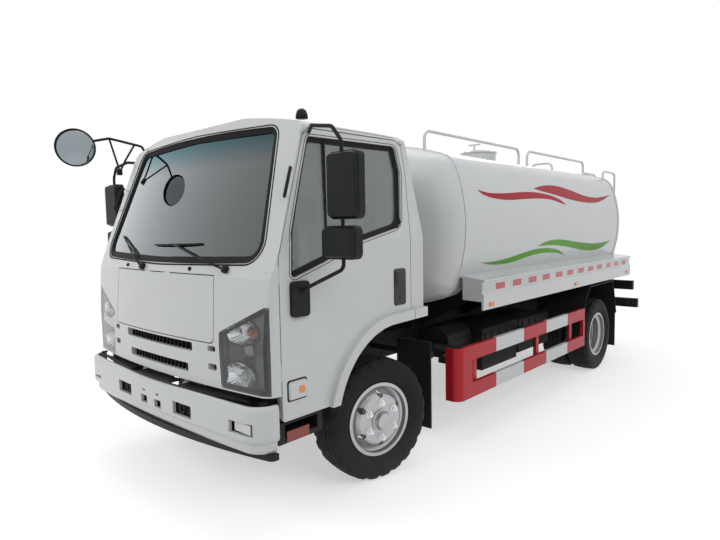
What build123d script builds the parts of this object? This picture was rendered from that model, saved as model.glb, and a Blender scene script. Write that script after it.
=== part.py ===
from build123d import *
from math import cos, radians, sin
import os

# Light cab-over water tanker, two axles, twin rear wheels.
# X points to the vehicle's left, the front looks along -Y, Z is up and Z = 0 is the ground.

# Axles and wheels
front_axle_y = -1805.0
wheelbase = 3550.0
tyre_r = 391.0
tyre_w = 232.0
rim_flange_r = 235.0
rim_seat_r = 222.0
rim_w = 190.0
front_track = 1680.0
rear_track = 1650.0
twin_spacing = 266.0
kingpin_inset = 60.0
steer_at_rest = -12.0

# Frame
rail_half_w = 425.0
rail_h = 180.0
rail_flange = 60.0
rail_wall = 8.0
rail_top_z = 775.0
rail_front_y = front_axle_y - 965.0
rail_rear_y = front_axle_y + 4600.0

# Bolt holes of the tow plate
tow_bolt_dx = 160.0
tow_bolt_dz = 100.0
tow_bolt_r = 8.5

# Cab
cab_half_w = 1000.0
cab_gutter_half_w = 938.0
cab_front_y = front_axle_y - 1035.0
cab_rear_y = front_axle_y + 354.0
cab_bottom_z = 622.0
nose_bottom_z = 762.0
belt_z = 1540.0
gutter_z = 2165.0
nose_lean_z = 1000.0
cowl_z = 1372.0
cowl_lean = 30.0
screen_lean = 338.0
screen_top_z = 2220.0
roof_z = 2282.0
cab_wall = 45.0
door_t = 55.0
door_skin_t = 20.0
door_step = 10.0
panel_gap = 6.0
glass_t = 5.0
cab_plan_r = 6500.0
cab_corner_r = 75.0
lamp_depth = 100.0
lid_t = 26.0
hinge_r = 2.7

# Tilt pivot of the cab, in the frame's nose
tilt_y = cab_front_y + 12
tilt_z = 640.0
tilt_pin_r = 18.0

# Doors
door_front_y = front_axle_y - 876.0
door_rear_y = front_axle_y + 215.0
door_bottom_z = cab_bottom_z
arch_floor_z = 1020.0

# Bumper
bumper_front_y = front_axle_y - 1086.0
bumper_end_y = front_axle_y - 915.0
bumper_half_w = 1012.0
bumper_top_z = 728.0
bumper_bottom_z = 475.0
bumper_wall = 6.0
bumper_plan_r = 4200.0
pad_t = 8.0

# Water tank
tank_half_w = 968.0
tank_top_z = 2284.0
tank_bottom_z = 936.0
tank_front_y = front_axle_y + 955.0
tank_rear_y = front_axle_y + 4480.0
tank_head = 250.0
tank_top_r = 2890.0
tank_side_r = 1500.0
tank_corner_r = 190.0
manhole_y = front_axle_y + 2811.0
manhole_r = 188.0
manhole_bore_r = 165.0
manhole_h = 110.0

# Skirts and side guards
skirt_front_y = front_axle_y + 943.0
skirt_rear_y = front_axle_y + 4463.0
skirt_outer_x = 1126.0
skirt_inner_x = 942.0
skirt_top_z = 1210.0
skirt_floor_z = 1053.0
skirt_bottom_z = 984.0
guard_front_y = front_axle_y + 690.0
guard_rear_y = front_axle_y + 3045.0
guard_outer_x = 1100.0
guard_top_z = 742.0
guard_bottom_z = 357.0
guard_rail_h = 108.0
guard_depth = 32.0

rear_axle_y = front_axle_y + wheelbase
wheel_z = tyre_r
fit = 0.3
tank_mid_z = (tank_top_z + tank_bottom_z) / 2
rail_bottom_z = rail_top_z - rail_h

os.makedirs("parts", exist_ok=True)


def save(piece, name):
    piece.label = name
    export_step(piece, f"parts/{name}.step")


def across(x):
    """Plane whose sketch x runs back along Y and whose sketch y is Z, facing +X at the given X."""
    return Plane(origin=(x, 0, 0), x_dir=(0, 1, 0), z_dir=(1, 0, 0))


def facing(y):
    """Plane whose sketch x is X and whose sketch y is Z, at the given Y, facing forward."""
    return Plane(origin=(0, y, 0), x_dir=(1, 0, 0), z_dir=(0, -1, 0))


def level(z):
    return Plane(origin=(0, 0, z))


def both(piece):
    """The piece and its mirror image on the other side of the truck."""
    return piece + mirror(piece, about=Plane.YZ, mode=Mode.PRIVATE)


def block(x0, x1, y0, y1, z0, z1):
    """A private box between two corners, for cuts and small brackets."""
    middle = Pos((x0 + x1) / 2, (y0 + y1) / 2, (z0 + z1) / 2)
    return middle * Box(x1 - x0, y1 - y0, z1 - z0, mode=Mode.PRIVATE)


def tube(points, radii, r):
    """A private round rod along straight runs with arcs at the corners."""
    with BuildLine(mode=Mode.PRIVATE) as path:
        FilletPolyline(*points, radius=radii)
    with BuildSketch(Plane(origin=path.line @ 0, z_dir=path.line % 0), mode=Mode.PRIVATE) as ring:
        Circle(r)
    return sweep(ring.sketch, path=path.line, mode=Mode.PRIVATE)


# Cab outer form
# It is the meeting of a side view, a front view and a plan view, each drawn inset by the wall.
def cab_form(inset):
    front = cab_front_y + inset
    rear = cab_rear_y - inset
    with BuildPart() as form:
        with BuildSketch(across(0)):
            with BuildLine():
                Polyline(
                    (front - 60, cab_bottom_z - 60),
                    (front - 60, cowl_z),
                    (front + screen_lean - 40, screen_top_z - inset),
                )
                RadiusArc(
                    (front + screen_lean - 40, screen_top_z - inset),
                    (front + 470, roof_z - 12 - inset),
                    240,
                )
                Polyline(
                    (front + 470, roof_z - 12 - inset),
                    (front + 900, roof_z - inset),
                    (rear - 240, roof_z - 22 - inset),
                )
                RadiusArc((rear - 240, roof_z - 22 - inset), (rear - 98, 2098 - inset), 165)
                Polyline(
                    (rear - 98, 2098 - inset),
                    (rear, 1563),
                    (rear, cab_bottom_z - 60),
                    (front - 60, cab_bottom_z - 60),
                )
            make_face()
        extrude(amount=cab_half_w + 50, both=True)
        with BuildSketch(facing(0)):
            half = cab_half_w - inset
            top_half = cab_gutter_half_w - inset
            with BuildLine():
                Polyline(
                    (top_half - 34, gutter_z + 26 - inset),
                    (top_half, gutter_z - inset),
                    (half, belt_z),
                    (half, cab_bottom_z - 80),
                    (-half, cab_bottom_z - 80),
                    (-half, belt_z),
                    (-top_half, gutter_z - inset),
                    (-top_half + 34, gutter_z + 26 - inset),
                )
                ThreePointArc(
                    (-top_half + 34, gutter_z + 26 - inset),
                    (0, roof_z - inset),
                    (top_half - 34, gutter_z + 26 - inset),
                )
            make_face()
        extrude(amount=4000, both=True, mode=Mode.INTERSECT)
        with BuildSketch(level(0)):
            sag = half * half / (2 * cab_plan_r)
            with BuildLine():
                ThreePointArc((-half, front + sag), (0, front), (half, front + sag))
                Polyline((half, front + sag), (half, rear), (-half, rear), (-half, front + sag))
            corners = make_face().vertices()
            fillet(corners.group_by(Axis.Y)[0], max(cab_corner_r - inset, 12))
            fillet(corners.group_by(Axis.Y)[-1], max(cab_corner_r - inset, 12))
        extrude(amount=4000, both=True, mode=Mode.INTERSECT)
        # The nose and the windscreen keep the same bow while they lean back, each at its own angle
        leans = (  # start offset, start z, end offset, end z
            (0, nose_lean_z, cowl_lean, cowl_z),
            (cowl_lean, cowl_z, screen_lean, screen_top_z - inset),
        )
        for low_y, low_z, high_y, high_z in leans:
            lean = Vector(0, high_y - low_y, high_z - low_z).normalized()
            start = Vector(0, front + low_y, low_z) - lean * 1500
            wide = 1200
            bow = wide * wide / (2 * cab_plan_r)
            with BuildSketch(Plane(origin=start, x_dir=(1, 0, 0), z_dir=lean)):
                with BuildLine():
                    ThreePointArc((-wide, bow), (0, 0), (wide, bow))
                    Polyline((wide, bow), (wide, 4000), (-wide, 4000), (-wide, bow))
                make_face()
            extrude(amount=4000, mode=Mode.INTERSECT)
    return form.part


# Outlines that are shared by a panel and by the opening that it closes
def arch_line(grow):
    """The wheel arch in the side view, as a closed face that reaches below the cab."""
    low = cab_bottom_z - 100
    with BuildSketch(across(0)) as arch:
        with BuildLine():
            ThreePointArc(
                (front_axle_y - 487 - grow, 628),
                (front_axle_y - 278 - 0.75 * grow, 917 + 0.65 * grow),
                (front_axle_y - 14, 1009 + grow),
            )
            Polyline(
                (front_axle_y - 14, 1009 + grow),
                (cab_rear_y + 60, arch_floor_z + grow),
                (cab_rear_y + 60, low),
                (front_axle_y - 487 - grow, low),
                (front_axle_y - 487 - grow, 628),
            )
        make_face()
    return arch.sketch


def door_outline(grow):
    with BuildSketch(across(0)) as outline:
        with BuildLine():
            Polyline(
                (door_front_y - grow, door_bottom_z - grow),
                (door_front_y - grow, 1470),
                (front_axle_y - 842 - grow, 1580),
                (front_axle_y - 706 - grow, 1940),
                (front_axle_y - 642 - grow, 2112 + grow),
                (front_axle_y - 600, 2148 + grow),
                (door_rear_y - 80, 2158 + grow),
                (door_rear_y - 20 + grow, 2130 + grow),
                (door_rear_y + grow, 1960),
                (door_rear_y + grow, door_bottom_z - grow),
                (door_front_y - grow, door_bottom_z - grow),
            )
        make_face()
        fillet(outline.vertices().group_by(Axis.Y)[0].sort_by(Axis.X)[0], 14 + grow)
    return outline.sketch


def window_outline(grow):
    with BuildSketch(across(0)) as outline:
        with BuildLine():
            Polyline(
                (front_axle_y - 800 - grow, 1352 - grow),
                (front_axle_y - 790 - grow, 1590),
                (front_axle_y - 692 - grow, 1881),
                (front_axle_y - 612 - grow, 2108 + grow),
                (door_rear_y - 75 + grow, 2122 + grow),
                (door_rear_y - 43 + grow, 1962),
                (door_rear_y - 85 + grow, 1614 - grow),
                (front_axle_y - 244, 1535 - grow),
                (front_axle_y - 560, 1426 - grow),
                (front_axle_y - 800 - grow, 1352 - grow),
            )
        make_face()
        fillet(outline.vertices().sort_by(Axis.Y)[-2:], 34 + grow)
        fillet(outline.vertices().sort_by(Axis.Y)[0], 26 + grow)
    return outline.sketch


def windscreen_outline(grow):
    with BuildSketch(facing(0)) as outline:
        with BuildLine():
            ThreePointArc(
                (-908 - grow, 1442 - grow), (0, 1424 - grow), (908 + grow, 1442 - grow)
            )
            Line((908 + grow, 1442 - grow), (772 + grow, 2176 + grow))
            ThreePointArc(
                (772 + grow, 2176 + grow), (0, 2196 + grow), (-772 - grow, 2176 + grow)
            )
            Line((-772 - grow, 2176 + grow), (-908 - grow, 1442 - grow))
        make_face()
        fillet(outline.vertices().group_by(Axis.Y)[0], 105 + grow)
        fillet(outline.vertices().group_by(Axis.Y)[-1], 80 + grow)
    return outline.sketch


def lid_outline(grow):
    with BuildSketch(facing(0)) as outline:
        with BuildLine():
            Polyline(
                (-570 - grow, cowl_z - panel_gap + grow),
                (-586 - grow, 1004 - grow),
                (586 + grow, 1004 - grow),
                (570 + grow, cowl_z - panel_gap + grow),
                close=True,
            )
        make_face()
        fillet(outline.vertices().group_by(Axis.Y)[0], 30)
    return outline.sketch


def lamp_outline(grow):
    with BuildSketch(facing(0)) as outline:
        with BuildLine():
            Polyline(
                (630 - grow, 1068 + grow),
                (960, 1222 + grow),
                (1060, 1222 + grow),
                (1060, nose_bottom_z + 8 - grow),
                (644 - grow, nose_bottom_z + 8 - grow),
                close=True,
            )
        make_face()
        fillet(outline.vertices().sort_by(Axis.X)[:2], 18 + grow)
    return outline.sketch


grille_slots = (  # centre x, centre z, width, height
    (0, 962, 790, 50),
    (0, 838, 700, 50),
    (570, 972, 66, 32),
    (-570, 972, 66, 32),
    (574, 872, 72, 36),
    (-574, 872, 72, 36),
)

outer = cab_form(0)
inner = cab_form(cab_wall)
with BuildPart() as screen_band:
    # The slice of the cab behind the windscreen, leaning back with it
    with BuildSketch(across(0)):
        with BuildLine():
            Polyline(
                (cab_front_y - 60, cowl_z),
                (cab_front_y + 140, cowl_z),
                (cab_front_y + 500, 2300),
                (cab_front_y + 260, 2300),
                close=True,
            )
        make_face()
    extrude(amount=1200, both=True)
door_hole = extrude(door_outline(panel_gap), 1200, both=True)
nose_zone = block(-1200, 1200, cab_front_y - 50, cab_front_y + 105, 500, 1400)
windscreen_hole = extrude(windscreen_outline(0), 4000, both=True) & screen_band.part - door_hole
lid_hole = extrude(lid_outline(panel_gap), 4000, both=True) & nose_zone
lamp_zone = block(500, 1200, cab_front_y - 50, cab_front_y + lamp_depth, 500, 1400)
lamp_hole = extrude(lamp_outline(0), 4000, both=True) & lamp_zone
lid_panel = (outer - cab_form(lid_t)) & extrude(lid_outline(0), 4000, both=True) & nose_zone
arch_hole = extrude(arch_line(0), 1200, both=True)
flare_ring = extrude(arch_line(62) - arch_line(0), 1200, both=True)

# Cab shell, with its floor, engine cover, tilt lugs and rear corner flares
floor_t = 36.0
foot_z = rail_top_z + floor_t + 19
floor_pts = (
    (cab_front_y + 110, foot_z),
    (front_axle_y - 600, foot_z),
    (front_axle_y - 330, arch_floor_z + 80),
    (cab_rear_y - 30, arch_floor_z + 80),
)
flare_rear = flare_ring & block(
    cab_half_w - 50, cab_half_w + 36, door_rear_y + panel_gap, cab_rear_y, 900, 1200
)
with BuildPart() as cab_shell:
    add(outer)
    add(inner, mode=Mode.SUBTRACT)
    # Open underside, cut higher behind the bumper
    add(block(-1100, 1100, cab_front_y - 100, cab_rear_y + 50, 300, cab_bottom_z), mode=Mode.SUBTRACT)
    add(
        block(-1100, 1100, cab_front_y - 100, door_front_y + 30, 300, nose_bottom_z),
        mode=Mode.SUBTRACT,
    )
    add(door_hole, mode=Mode.SUBTRACT)
    add(arch_hole, mode=Mode.SUBTRACT)
    add(windscreen_hole, mode=Mode.SUBTRACT)
    add(lid_hole, mode=Mode.SUBTRACT)
    add(lamp_hole, mode=Mode.SUBTRACT)
    add(mirror(lamp_hole, about=Plane.YZ, mode=Mode.PRIVATE), mode=Mode.SUBTRACT)
    with BuildSketch(facing(cab_rear_y + 50)):
        with Locations((0, 1790)):
            RectangleRounded(1250, 420, 50)
    extrude(amount=150, mode=Mode.SUBTRACT)
    for slot_x, slot_z, slot_w, slot_h in grille_slots:
        with BuildSketch(facing(cab_front_y + 130)):
            with Locations((slot_x, slot_z)):
                RectangleRounded(slot_w, slot_h, 12)
        extrude(amount=200, mode=Mode.SUBTRACT)
    # Floor: footwell, riser over the wheels and seat deck
    with BuildSketch(across(0)):
        with BuildLine():
            Polyline(
                *floor_pts,
                *[(y, z - floor_t) for y, z in reversed(floor_pts)],
                close=True,
            )
        make_face()
    extrude(amount=cab_half_w - door_t - panel_gap, both=True)
    # Front wall behind the grille, from the floor up to the cowl
    add(block(-957, 957, cab_front_y + 110, cab_front_y + 140, foot_z - floor_t, 1400))
    # Lugs that reach down to the tilt pin
    for lug_x in (-250, 250):
        with BuildSketch(across(lug_x)):
            with BuildLine():
                Polyline(
                    (tilt_y - 20, tilt_z + 10),
                    (cab_front_y + 110, foot_z - 16),
                    (cab_front_y + 320, foot_z - 16),
                    (tilt_y + 18, tilt_z - 20),
                    close=True,
                )
            make_face()
            with Locations((tilt_y, tilt_z)):
                Circle(26)
        extrude(amount=25, both=True)
        with BuildSketch(across(lug_x)):
            with Locations((tilt_y, tilt_z)):
                Circle(tilt_pin_r + fit)
        extrude(amount=40, both=True, mode=Mode.SUBTRACT)
    add(flare_rear)
    add(mirror(flare_rear, about=Plane.YZ, mode=Mode.PRIVATE))
save(cab_shell.part, "cab_shell")

# Cab glass: windscreen and rear window
glass_layer = cab_form(14) - cab_form(14 + glass_t)
with BuildPart() as cab_glass:
    add(windscreen_hole & glass_layer)
    with BuildSketch(facing(cab_rear_y - 12)):
        with Locations((0, 1790)):
            RectangleRounded(1250, 420, 50)
    extrude(amount=glass_t)
save(cab_glass.part, "cab_glass")

# Front lid between the cowl and the grille, hung on two barrels at its top edge
lid_pivot_y = cab_front_y + cowl_lean + 1
lid_pivot_z = cowl_z - panel_gap / 2
with BuildPart() as front_lid:
    add(lid_panel)
    for hinge_x in (-120, 120):
        with BuildSketch(across(hinge_x)):
            with Locations((lid_pivot_y, lid_pivot_z)):
                Circle(hinge_r)
            with Locations((lid_pivot_y + 3, lid_pivot_z - 6)):
                Rectangle(8, 12)
        extrude(amount=32, both=True)
save(front_lid.part, "front_lid")

# Grille: ribbed inserts behind the slots
with BuildPart() as grille:
    for slot_x, slot_z, slot_w, slot_h in grille_slots:
        back_y = cab_front_y + cab_wall + (abs(slot_x) + slot_w / 2 + 14) ** 2 / (2 * cab_plan_r)
        add(
            block(
                slot_x - slot_w / 2 - 12,
                slot_x + slot_w / 2 + 12,
                back_y,
                back_y + 8,
                slot_z - slot_h / 2 - 10,
                slot_z + slot_h / 2 + 10,
            )
        )
        rib_count = round(slot_w / 42)
        for i in range(1, rib_count):
            rib_x = slot_x + (i / rib_count - 0.5) * slot_w
            sag = rib_x * rib_x / (2 * cab_plan_r)
            add(
                block(
                    rib_x - 3,
                    rib_x + 3,
                    cab_front_y + sag + 16,
                    back_y + 4,
                    slot_z - slot_h / 2,
                    slot_z + slot_h / 2,
                )
            )
save(grille.part, "grille")

# Headlamps, wrapped round the corners of the nose
lamp_body = lamp_hole & cab_form(1)
with BuildPart() as headlamps:
    add(both(lamp_body))
save(headlamps.part, "headlamps")

# Doors with their half of the flares
window_hole = extrude(window_outline(0), 1200, both=True)
door_zone = block(860, 1200, cab_front_y, cab_rear_y, 500, 2400)
door_inside = cab_form(door_skin_t)
# The outer panel fills the opening and the box behind it is narrower, so that it swings free
door_skin = (outer - door_inside) & extrude(door_outline(0), 1200, both=True) & door_zone
door_box = door_inside - cab_form(door_t)
door_skin += door_box & extrude(door_outline(-door_step), 1200, both=True) & door_zone
flare_front = flare_ring & block(
    cab_half_w - door_skin_t, cab_half_w + 36, front_axle_y - 700, door_rear_y, door_bottom_z, 1200
)
door_hinge_x = cab_half_w - 4
door_hinge_y = door_front_y - panel_gap / 2
door_hinge_zs = (880.0, 1380.0)
with BuildPart() as door_left:
    add(door_skin)
    add(arch_hole, mode=Mode.SUBTRACT)
    add(flare_front)
    add(window_hole, mode=Mode.SUBTRACT)
    for hinge_z in door_hinge_zs:
        with BuildSketch(level(hinge_z)):
            with Locations((door_hinge_x, door_hinge_y)):
                Circle(hinge_r)
            with Locations((door_hinge_x - 2, door_hinge_y + 6)):
                Rectangle(8, 12)
        extrude(amount=45, both=True)
save(door_left.part, "door_left")
door_glass = (cab_form(24) - cab_form(24 + glass_t)) & window_hole & door_zone
with BuildPart() as window_left:
    add(door_glass)
save(window_left.part, "window_left")
with BuildPart() as door_right:
    mirror(door_left.part, about=Plane.YZ)
save(door_right.part, "door_right")
with BuildPart() as window_right:
    mirror(door_glass, about=Plane.YZ)
save(window_right.part, "window_right")

# Door mirrors: a tubular arm with a flat and a wide-angle head
arm_x = cab_half_w + 262
arm_y = front_axle_y - 680
arm_r = 10.0
arm_top = (cab_gutter_half_w - 10, front_axle_y - 585, 2130)
arm_path = (
    (cab_half_w + 14, front_axle_y - 752, 1285),
    (cab_half_w + 90, front_axle_y - 735, 1325),
    (arm_x, arm_y, 1410),
    (arm_x, arm_y, 2040),
    (arm_x - 60, arm_y - 4, 2116),
    (cab_half_w + 40, front_axle_y - 668, 2142),
    arm_top,
)
mirror_heads = (  # centre x, centre y, centre z, width, depth, height
    (cab_half_w + 277, front_axle_y - 682, 1822, 205, 78, 332),
    (cab_half_w + 245, front_axle_y - 684, 1541, 220, 92, 168),
)
with BuildPart() as mirror_left:
    add(tube(arm_path, (30, 40, 40, 40, 30), arm_r))
    for head_x, head_y, head_z, head_w, head_d, head_h in mirror_heads:
        with BuildSketch(facing(head_y + head_d / 2)):
            with Locations((head_x, head_z)):
                RectangleRounded(head_w, head_h, 34)
        extrude(amount=head_d * 0.55)
        with BuildSketch(facing(head_y + head_d * 0.05)):
            with Locations((head_x, head_z)):
                RectangleRounded(head_w, head_h, 34)
        extrude(amount=head_d * 0.45, taper=22)
    with BuildSketch(across(cab_half_w)):
        with Locations((front_axle_y - 752, 1250)):
            RectangleRounded(120, 186, 22)
    extrude(amount=24)
    add(outer, mode=Mode.SUBTRACT)
save(mirror_left.part, "mirror_left")
with BuildPart() as mirror_right:
    mirror(mirror_left.part, about=Plane.YZ)
save(mirror_right.part, "mirror_right")

# Round front-view mirror on its boom at the right corner of the roof
round_c = (-930, front_axle_y - 1085, 2204)
round_normal = (0.93, -0.28, -0.2)
boom_x = -900.0
boom_path = (
    (-850, front_axle_y - 612, 2196),
    (-856, front_axle_y - 640, 2246),
    (boom_x, front_axle_y - 860, 2288),
    (boom_x - 16, front_axle_y - 960, 2262),
    (boom_x - 24, front_axle_y - 1062, 2222),
)
strut_foot = (-956, front_axle_y - 768, 2060)
with BuildPart() as front_mirror:
    add(tube(boom_path, (24, 60, 60), 9.0))
    add(tube(((boom_x, front_axle_y - 860, 2286), (-930, front_axle_y - 812, 2170), strut_foot), 80, 7.0))
    add(tube(((-868, front_axle_y - 690, 2254), (-920, front_axle_y - 734, 2150), strut_foot), 80, 7.0))
    add(block(-966, -948, front_axle_y - 788, front_axle_y - 752, 2034, 2078))
    with BuildSketch(Plane(origin=round_c, z_dir=round_normal)):
        Circle(131)
    extrude(amount=-16)
    with BuildSketch(Plane(origin=round_c, z_dir=round_normal).offset(-16)):
        Circle(129)
    extrude(amount=-30, taper=50)
    add(outer, mode=Mode.SUBTRACT)
save(front_mirror.part, "front_mirror")

# Seats: driver's seat and a double passenger seat on the deck
seat_z = arch_floor_z + 80
seat_rows = ((440, 480), (-290, 900))  # centre x, width
with BuildPart() as seats:
    for seat_x, seat_w in seat_rows:
        with BuildSketch(level(seat_z)):
            with Locations((seat_x, front_axle_y - 20)):
                RectangleRounded(seat_w, 480, 60)
        extrude(amount=150)
        with BuildSketch(across(seat_x - seat_w / 2 + 10)):
            with BuildLine():
                Polyline(
                    (front_axle_y + 90, seat_z + 140),
                    (front_axle_y + 130, seat_z + 740),
                    (front_axle_y + 210, seat_z + 740),
                    (front_axle_y + 230, seat_z + 60),
                    (front_axle_y + 140, seat_z + 60),
                    close=True,
                )
            make_face()
        extrude(amount=seat_w - 20)
save(seats.part, "seats")

# Dashboard with the steering column and wheel
dash_front_y = cab_front_y + 140
wheel_x = 440.0
column_top = (wheel_x, front_axle_y - 520, 1440)
column_dir = Vector(0, 0.42, 0.9)
with BuildPart() as dashboard:
    with BuildSketch(across(0)):
        with BuildLine():
            Polyline(
                (dash_front_y, 1080),
                (dash_front_y, 1385),
                (dash_front_y + 130, 1392),
                (dash_front_y + 250, 1330),
                (dash_front_y + 235, 1240),
                (dash_front_y + 120, 1080),
                close=True,
            )
        make_face()
    extrude(amount=905, both=True)
    add(inner, mode=Mode.INTERSECT)
    with BuildSketch(Plane(origin=column_top, z_dir=column_dir)):
        Circle(28)
    extrude(amount=-330)
    with BuildSketch(Plane(origin=column_top, z_dir=column_dir)):
        Circle(62)
    extrude(amount=22, both=True)
    with BuildSketch(Plane(origin=column_top, z_dir=column_dir)):
        with PolarLocations(0, 3, start_angle=90):
            with Locations((105, 0)):
                Rectangle(210, 34)
    extrude(amount=6, both=True)
    add(Plane(origin=column_top, z_dir=column_dir) * Torus(214, 15, mode=Mode.PRIVATE))
save(dashboard.part, "dashboard")

# Steps under the doors, hung from the floor
step_body = block(745, 985, door_front_y - 20, front_axle_y - 590, 500, 612)
step_hanger = block(745, 930, door_front_y - 20, front_axle_y - 610, 612, foot_z - floor_t)
foot_recess = block(850, 1000, door_front_y + 20, front_axle_y - 625, 528, 600)
step_left = step_body + step_hanger - foot_recess
with BuildPart() as cab_steps:
    add(both(step_left))
save(cab_steps.part, "cab_steps")

# Bumper: a curved pressed channel with tow-eye, lamp and vent openings
def bumper_band(inset, low, high):
    sag = bumper_half_w ** 2 / (2 * bumper_plan_r)
    half = bumper_half_w - inset
    front = bumper_front_y + inset
    with BuildPart() as band:
        with BuildSketch(level(low)):
            with BuildLine():
                ThreePointArc((-half, front + sag), (0, front), (half, front + sag))
                Polyline(
                    (half, front + sag),
                    (half, bumper_end_y),
                    (-half, bumper_end_y),
                    (-half, front + sag),
                )
            corners = make_face().vertices()
            fillet(corners.group_by(Axis.Y)[0], 40 - inset)
        extrude(amount=high - low)
    return band.part


bumper_openings = (  # centre x, centre z, width, height
    (0, 640, 560, 34),
    (-385, 610, 120, 78),
    (385, 610, 120, 78),
    (-790, 575, 190, 92),
    (790, 575, 190, 92),
)
bumper_mid_z = 560.0
band_upper = bumper_band(0, bumper_mid_z, bumper_top_z)
band_lower = bumper_band(14, bumper_bottom_z, bumper_mid_z)
hollow_upper = bumper_band(bumper_wall, bumper_mid_z + bumper_wall, bumper_top_z - bumper_wall)
hollow_lower = bumper_band(14 + bumper_wall, bumper_bottom_z - 50, bumper_mid_z + 10)
# The top flange reaches a little under the nose and is notched for the two tilt lugs
top_opening = block(-930, 930, cab_front_y + 44, bumper_end_y + 40, bumper_top_z - 40, bumper_top_z + 20)
top_opening += block(-295, -205, cab_front_y - 34, cab_front_y + 60, bumper_top_z - 40, bumper_top_z + 20)
top_opening += block(205, 295, cab_front_y - 34, cab_front_y + 60, bumper_top_z - 40, bumper_top_z + 20)
with BuildPart() as front_bumper:
    add(band_upper)
    add(band_lower)
    add(hollow_upper, mode=Mode.SUBTRACT)
    add(hollow_lower, mode=Mode.SUBTRACT)
    add(top_opening, mode=Mode.SUBTRACT)
    for open_x, open_z, open_w, open_h in bumper_openings:
        with BuildSketch(facing(bumper_end_y - 20)):
            with Locations((open_x, open_z)):
                RectangleRounded(open_w, open_h, 14)
        extrude(amount=300, mode=Mode.SUBTRACT)
    # Brackets to the frame horns
    for bracket_x in (5 - rail_half_w, rail_half_w - 5):
        add(block(bracket_x - 6, bracket_x + 6, bumper_front_y + 20, rail_front_y, 640, 700))
save(front_bumper.part, "front_bumper")

# Black trim of the bumper: a tread pad on its top edge and a flexible lip below
lip_low = bumper_band(6, bumper_bottom_z - 34, bumper_bottom_z)
lip_cut = bumper_band(34, bumper_bottom_z - 60, bumper_bottom_z + 10)
pad = bumper_band(3, bumper_top_z, bumper_top_z + pad_t) & block(
    -960, 960, bumper_front_y - 10, cab_front_y + 96, bumper_top_z, bumper_top_z + pad_t
)
with BuildPart() as bumper_trim:
    add(lip_low)
    add(lip_cut, mode=Mode.SUBTRACT)
    add(pad - top_opening)
save(bumper_trim.part, "bumper_trim")

# Frame side rails: two channels open inwards
with BuildPart() as frame_rails:
    with BuildSketch(facing(rail_front_y)):
        for side in (1, -1):
            with BuildLine():
                Polyline(
                    (side * rail_half_w, rail_bottom_z),
                    (side * rail_half_w, rail_top_z),
                    (side * (rail_half_w - rail_flange), rail_top_z),
                    (side * (rail_half_w - rail_flange), rail_top_z - rail_wall),
                    (side * (rail_half_w - rail_wall), rail_top_z - rail_wall),
                    (side * (rail_half_w - rail_wall), rail_bottom_z + rail_wall),
                    (side * (rail_half_w - rail_flange), rail_bottom_z + rail_wall),
                    (side * (rail_half_w - rail_flange), rail_bottom_z),
                    close=True,
                )
            make_face()
    extrude(amount=rail_front_y - rail_rear_y)
save(frame_rails.part, "frame_rails")

# Crossmembers, the tilt pin in the nose and the hoop that the cab rests on
cross_ys = (-560, 930, 1650, 2450, 3150, 3900, 4570)  # behind the front axle
web_in = rail_half_w - rail_wall
with BuildPart() as crossmembers:
    for cross_y in cross_ys:
        with BuildSketch(across(0)):
            with Locations((front_axle_y + cross_y, rail_top_z - rail_h / 2)):
                Rectangle(56, rail_h - 2 * rail_wall - 12)
            with Locations((front_axle_y + cross_y + 5, rail_top_z - rail_h / 2)):
                Rectangle(56, rail_h - 2 * rail_wall - 28, mode=Mode.SUBTRACT)
        extrude(amount=web_in, both=True)
    # Horns and pin of the cab's tilt pivot
    for horn_x in (-400, 400):
        with BuildSketch(across(horn_x)):
            with BuildLine():
                Polyline(
                    (rail_front_y, rail_top_z - 70),
                    (tilt_y - 20, tilt_z + 20),
                    (tilt_y - 20, tilt_z - 24),
                    (rail_front_y, rail_bottom_z),
                    close=True,
                )
            make_face()
        extrude(amount=8, both=True)
    with BuildSketch(across(0)):
        with Locations((tilt_y, tilt_z)):
            Circle(tilt_pin_r)
    extrude(amount=408, both=True)
    hoop_y = cab_rear_y - 120
    hoop_z = arch_floor_z + 80 - floor_t - fit
    add(block(-rail_half_w, rail_half_w, hoop_y - 30, hoop_y + 30, hoop_z - 70, hoop_z))
    for post_x in (-rail_half_w + 25, rail_half_w - 25):
        add(block(post_x - 25, post_x + 25, hoop_y - 30, hoop_y + 30, rail_top_z, hoop_z - 40))
    # Tow plate on the last crossmember
    add(block(-120, 120, rail_rear_y - 2, rail_rear_y + 12, rail_bottom_z + 10, rail_top_z - 10))
    with BuildSketch(facing(rail_rear_y + 12)):
        with Locations((0, rail_top_z - rail_h / 2)):
            with GridLocations(tow_bolt_dx, tow_bolt_dz, 2, 2):
                Circle(tow_bolt_r)
    extrude(amount=80, mode=Mode.SUBTRACT)
save(crossmembers.part, "crossmembers")

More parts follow.
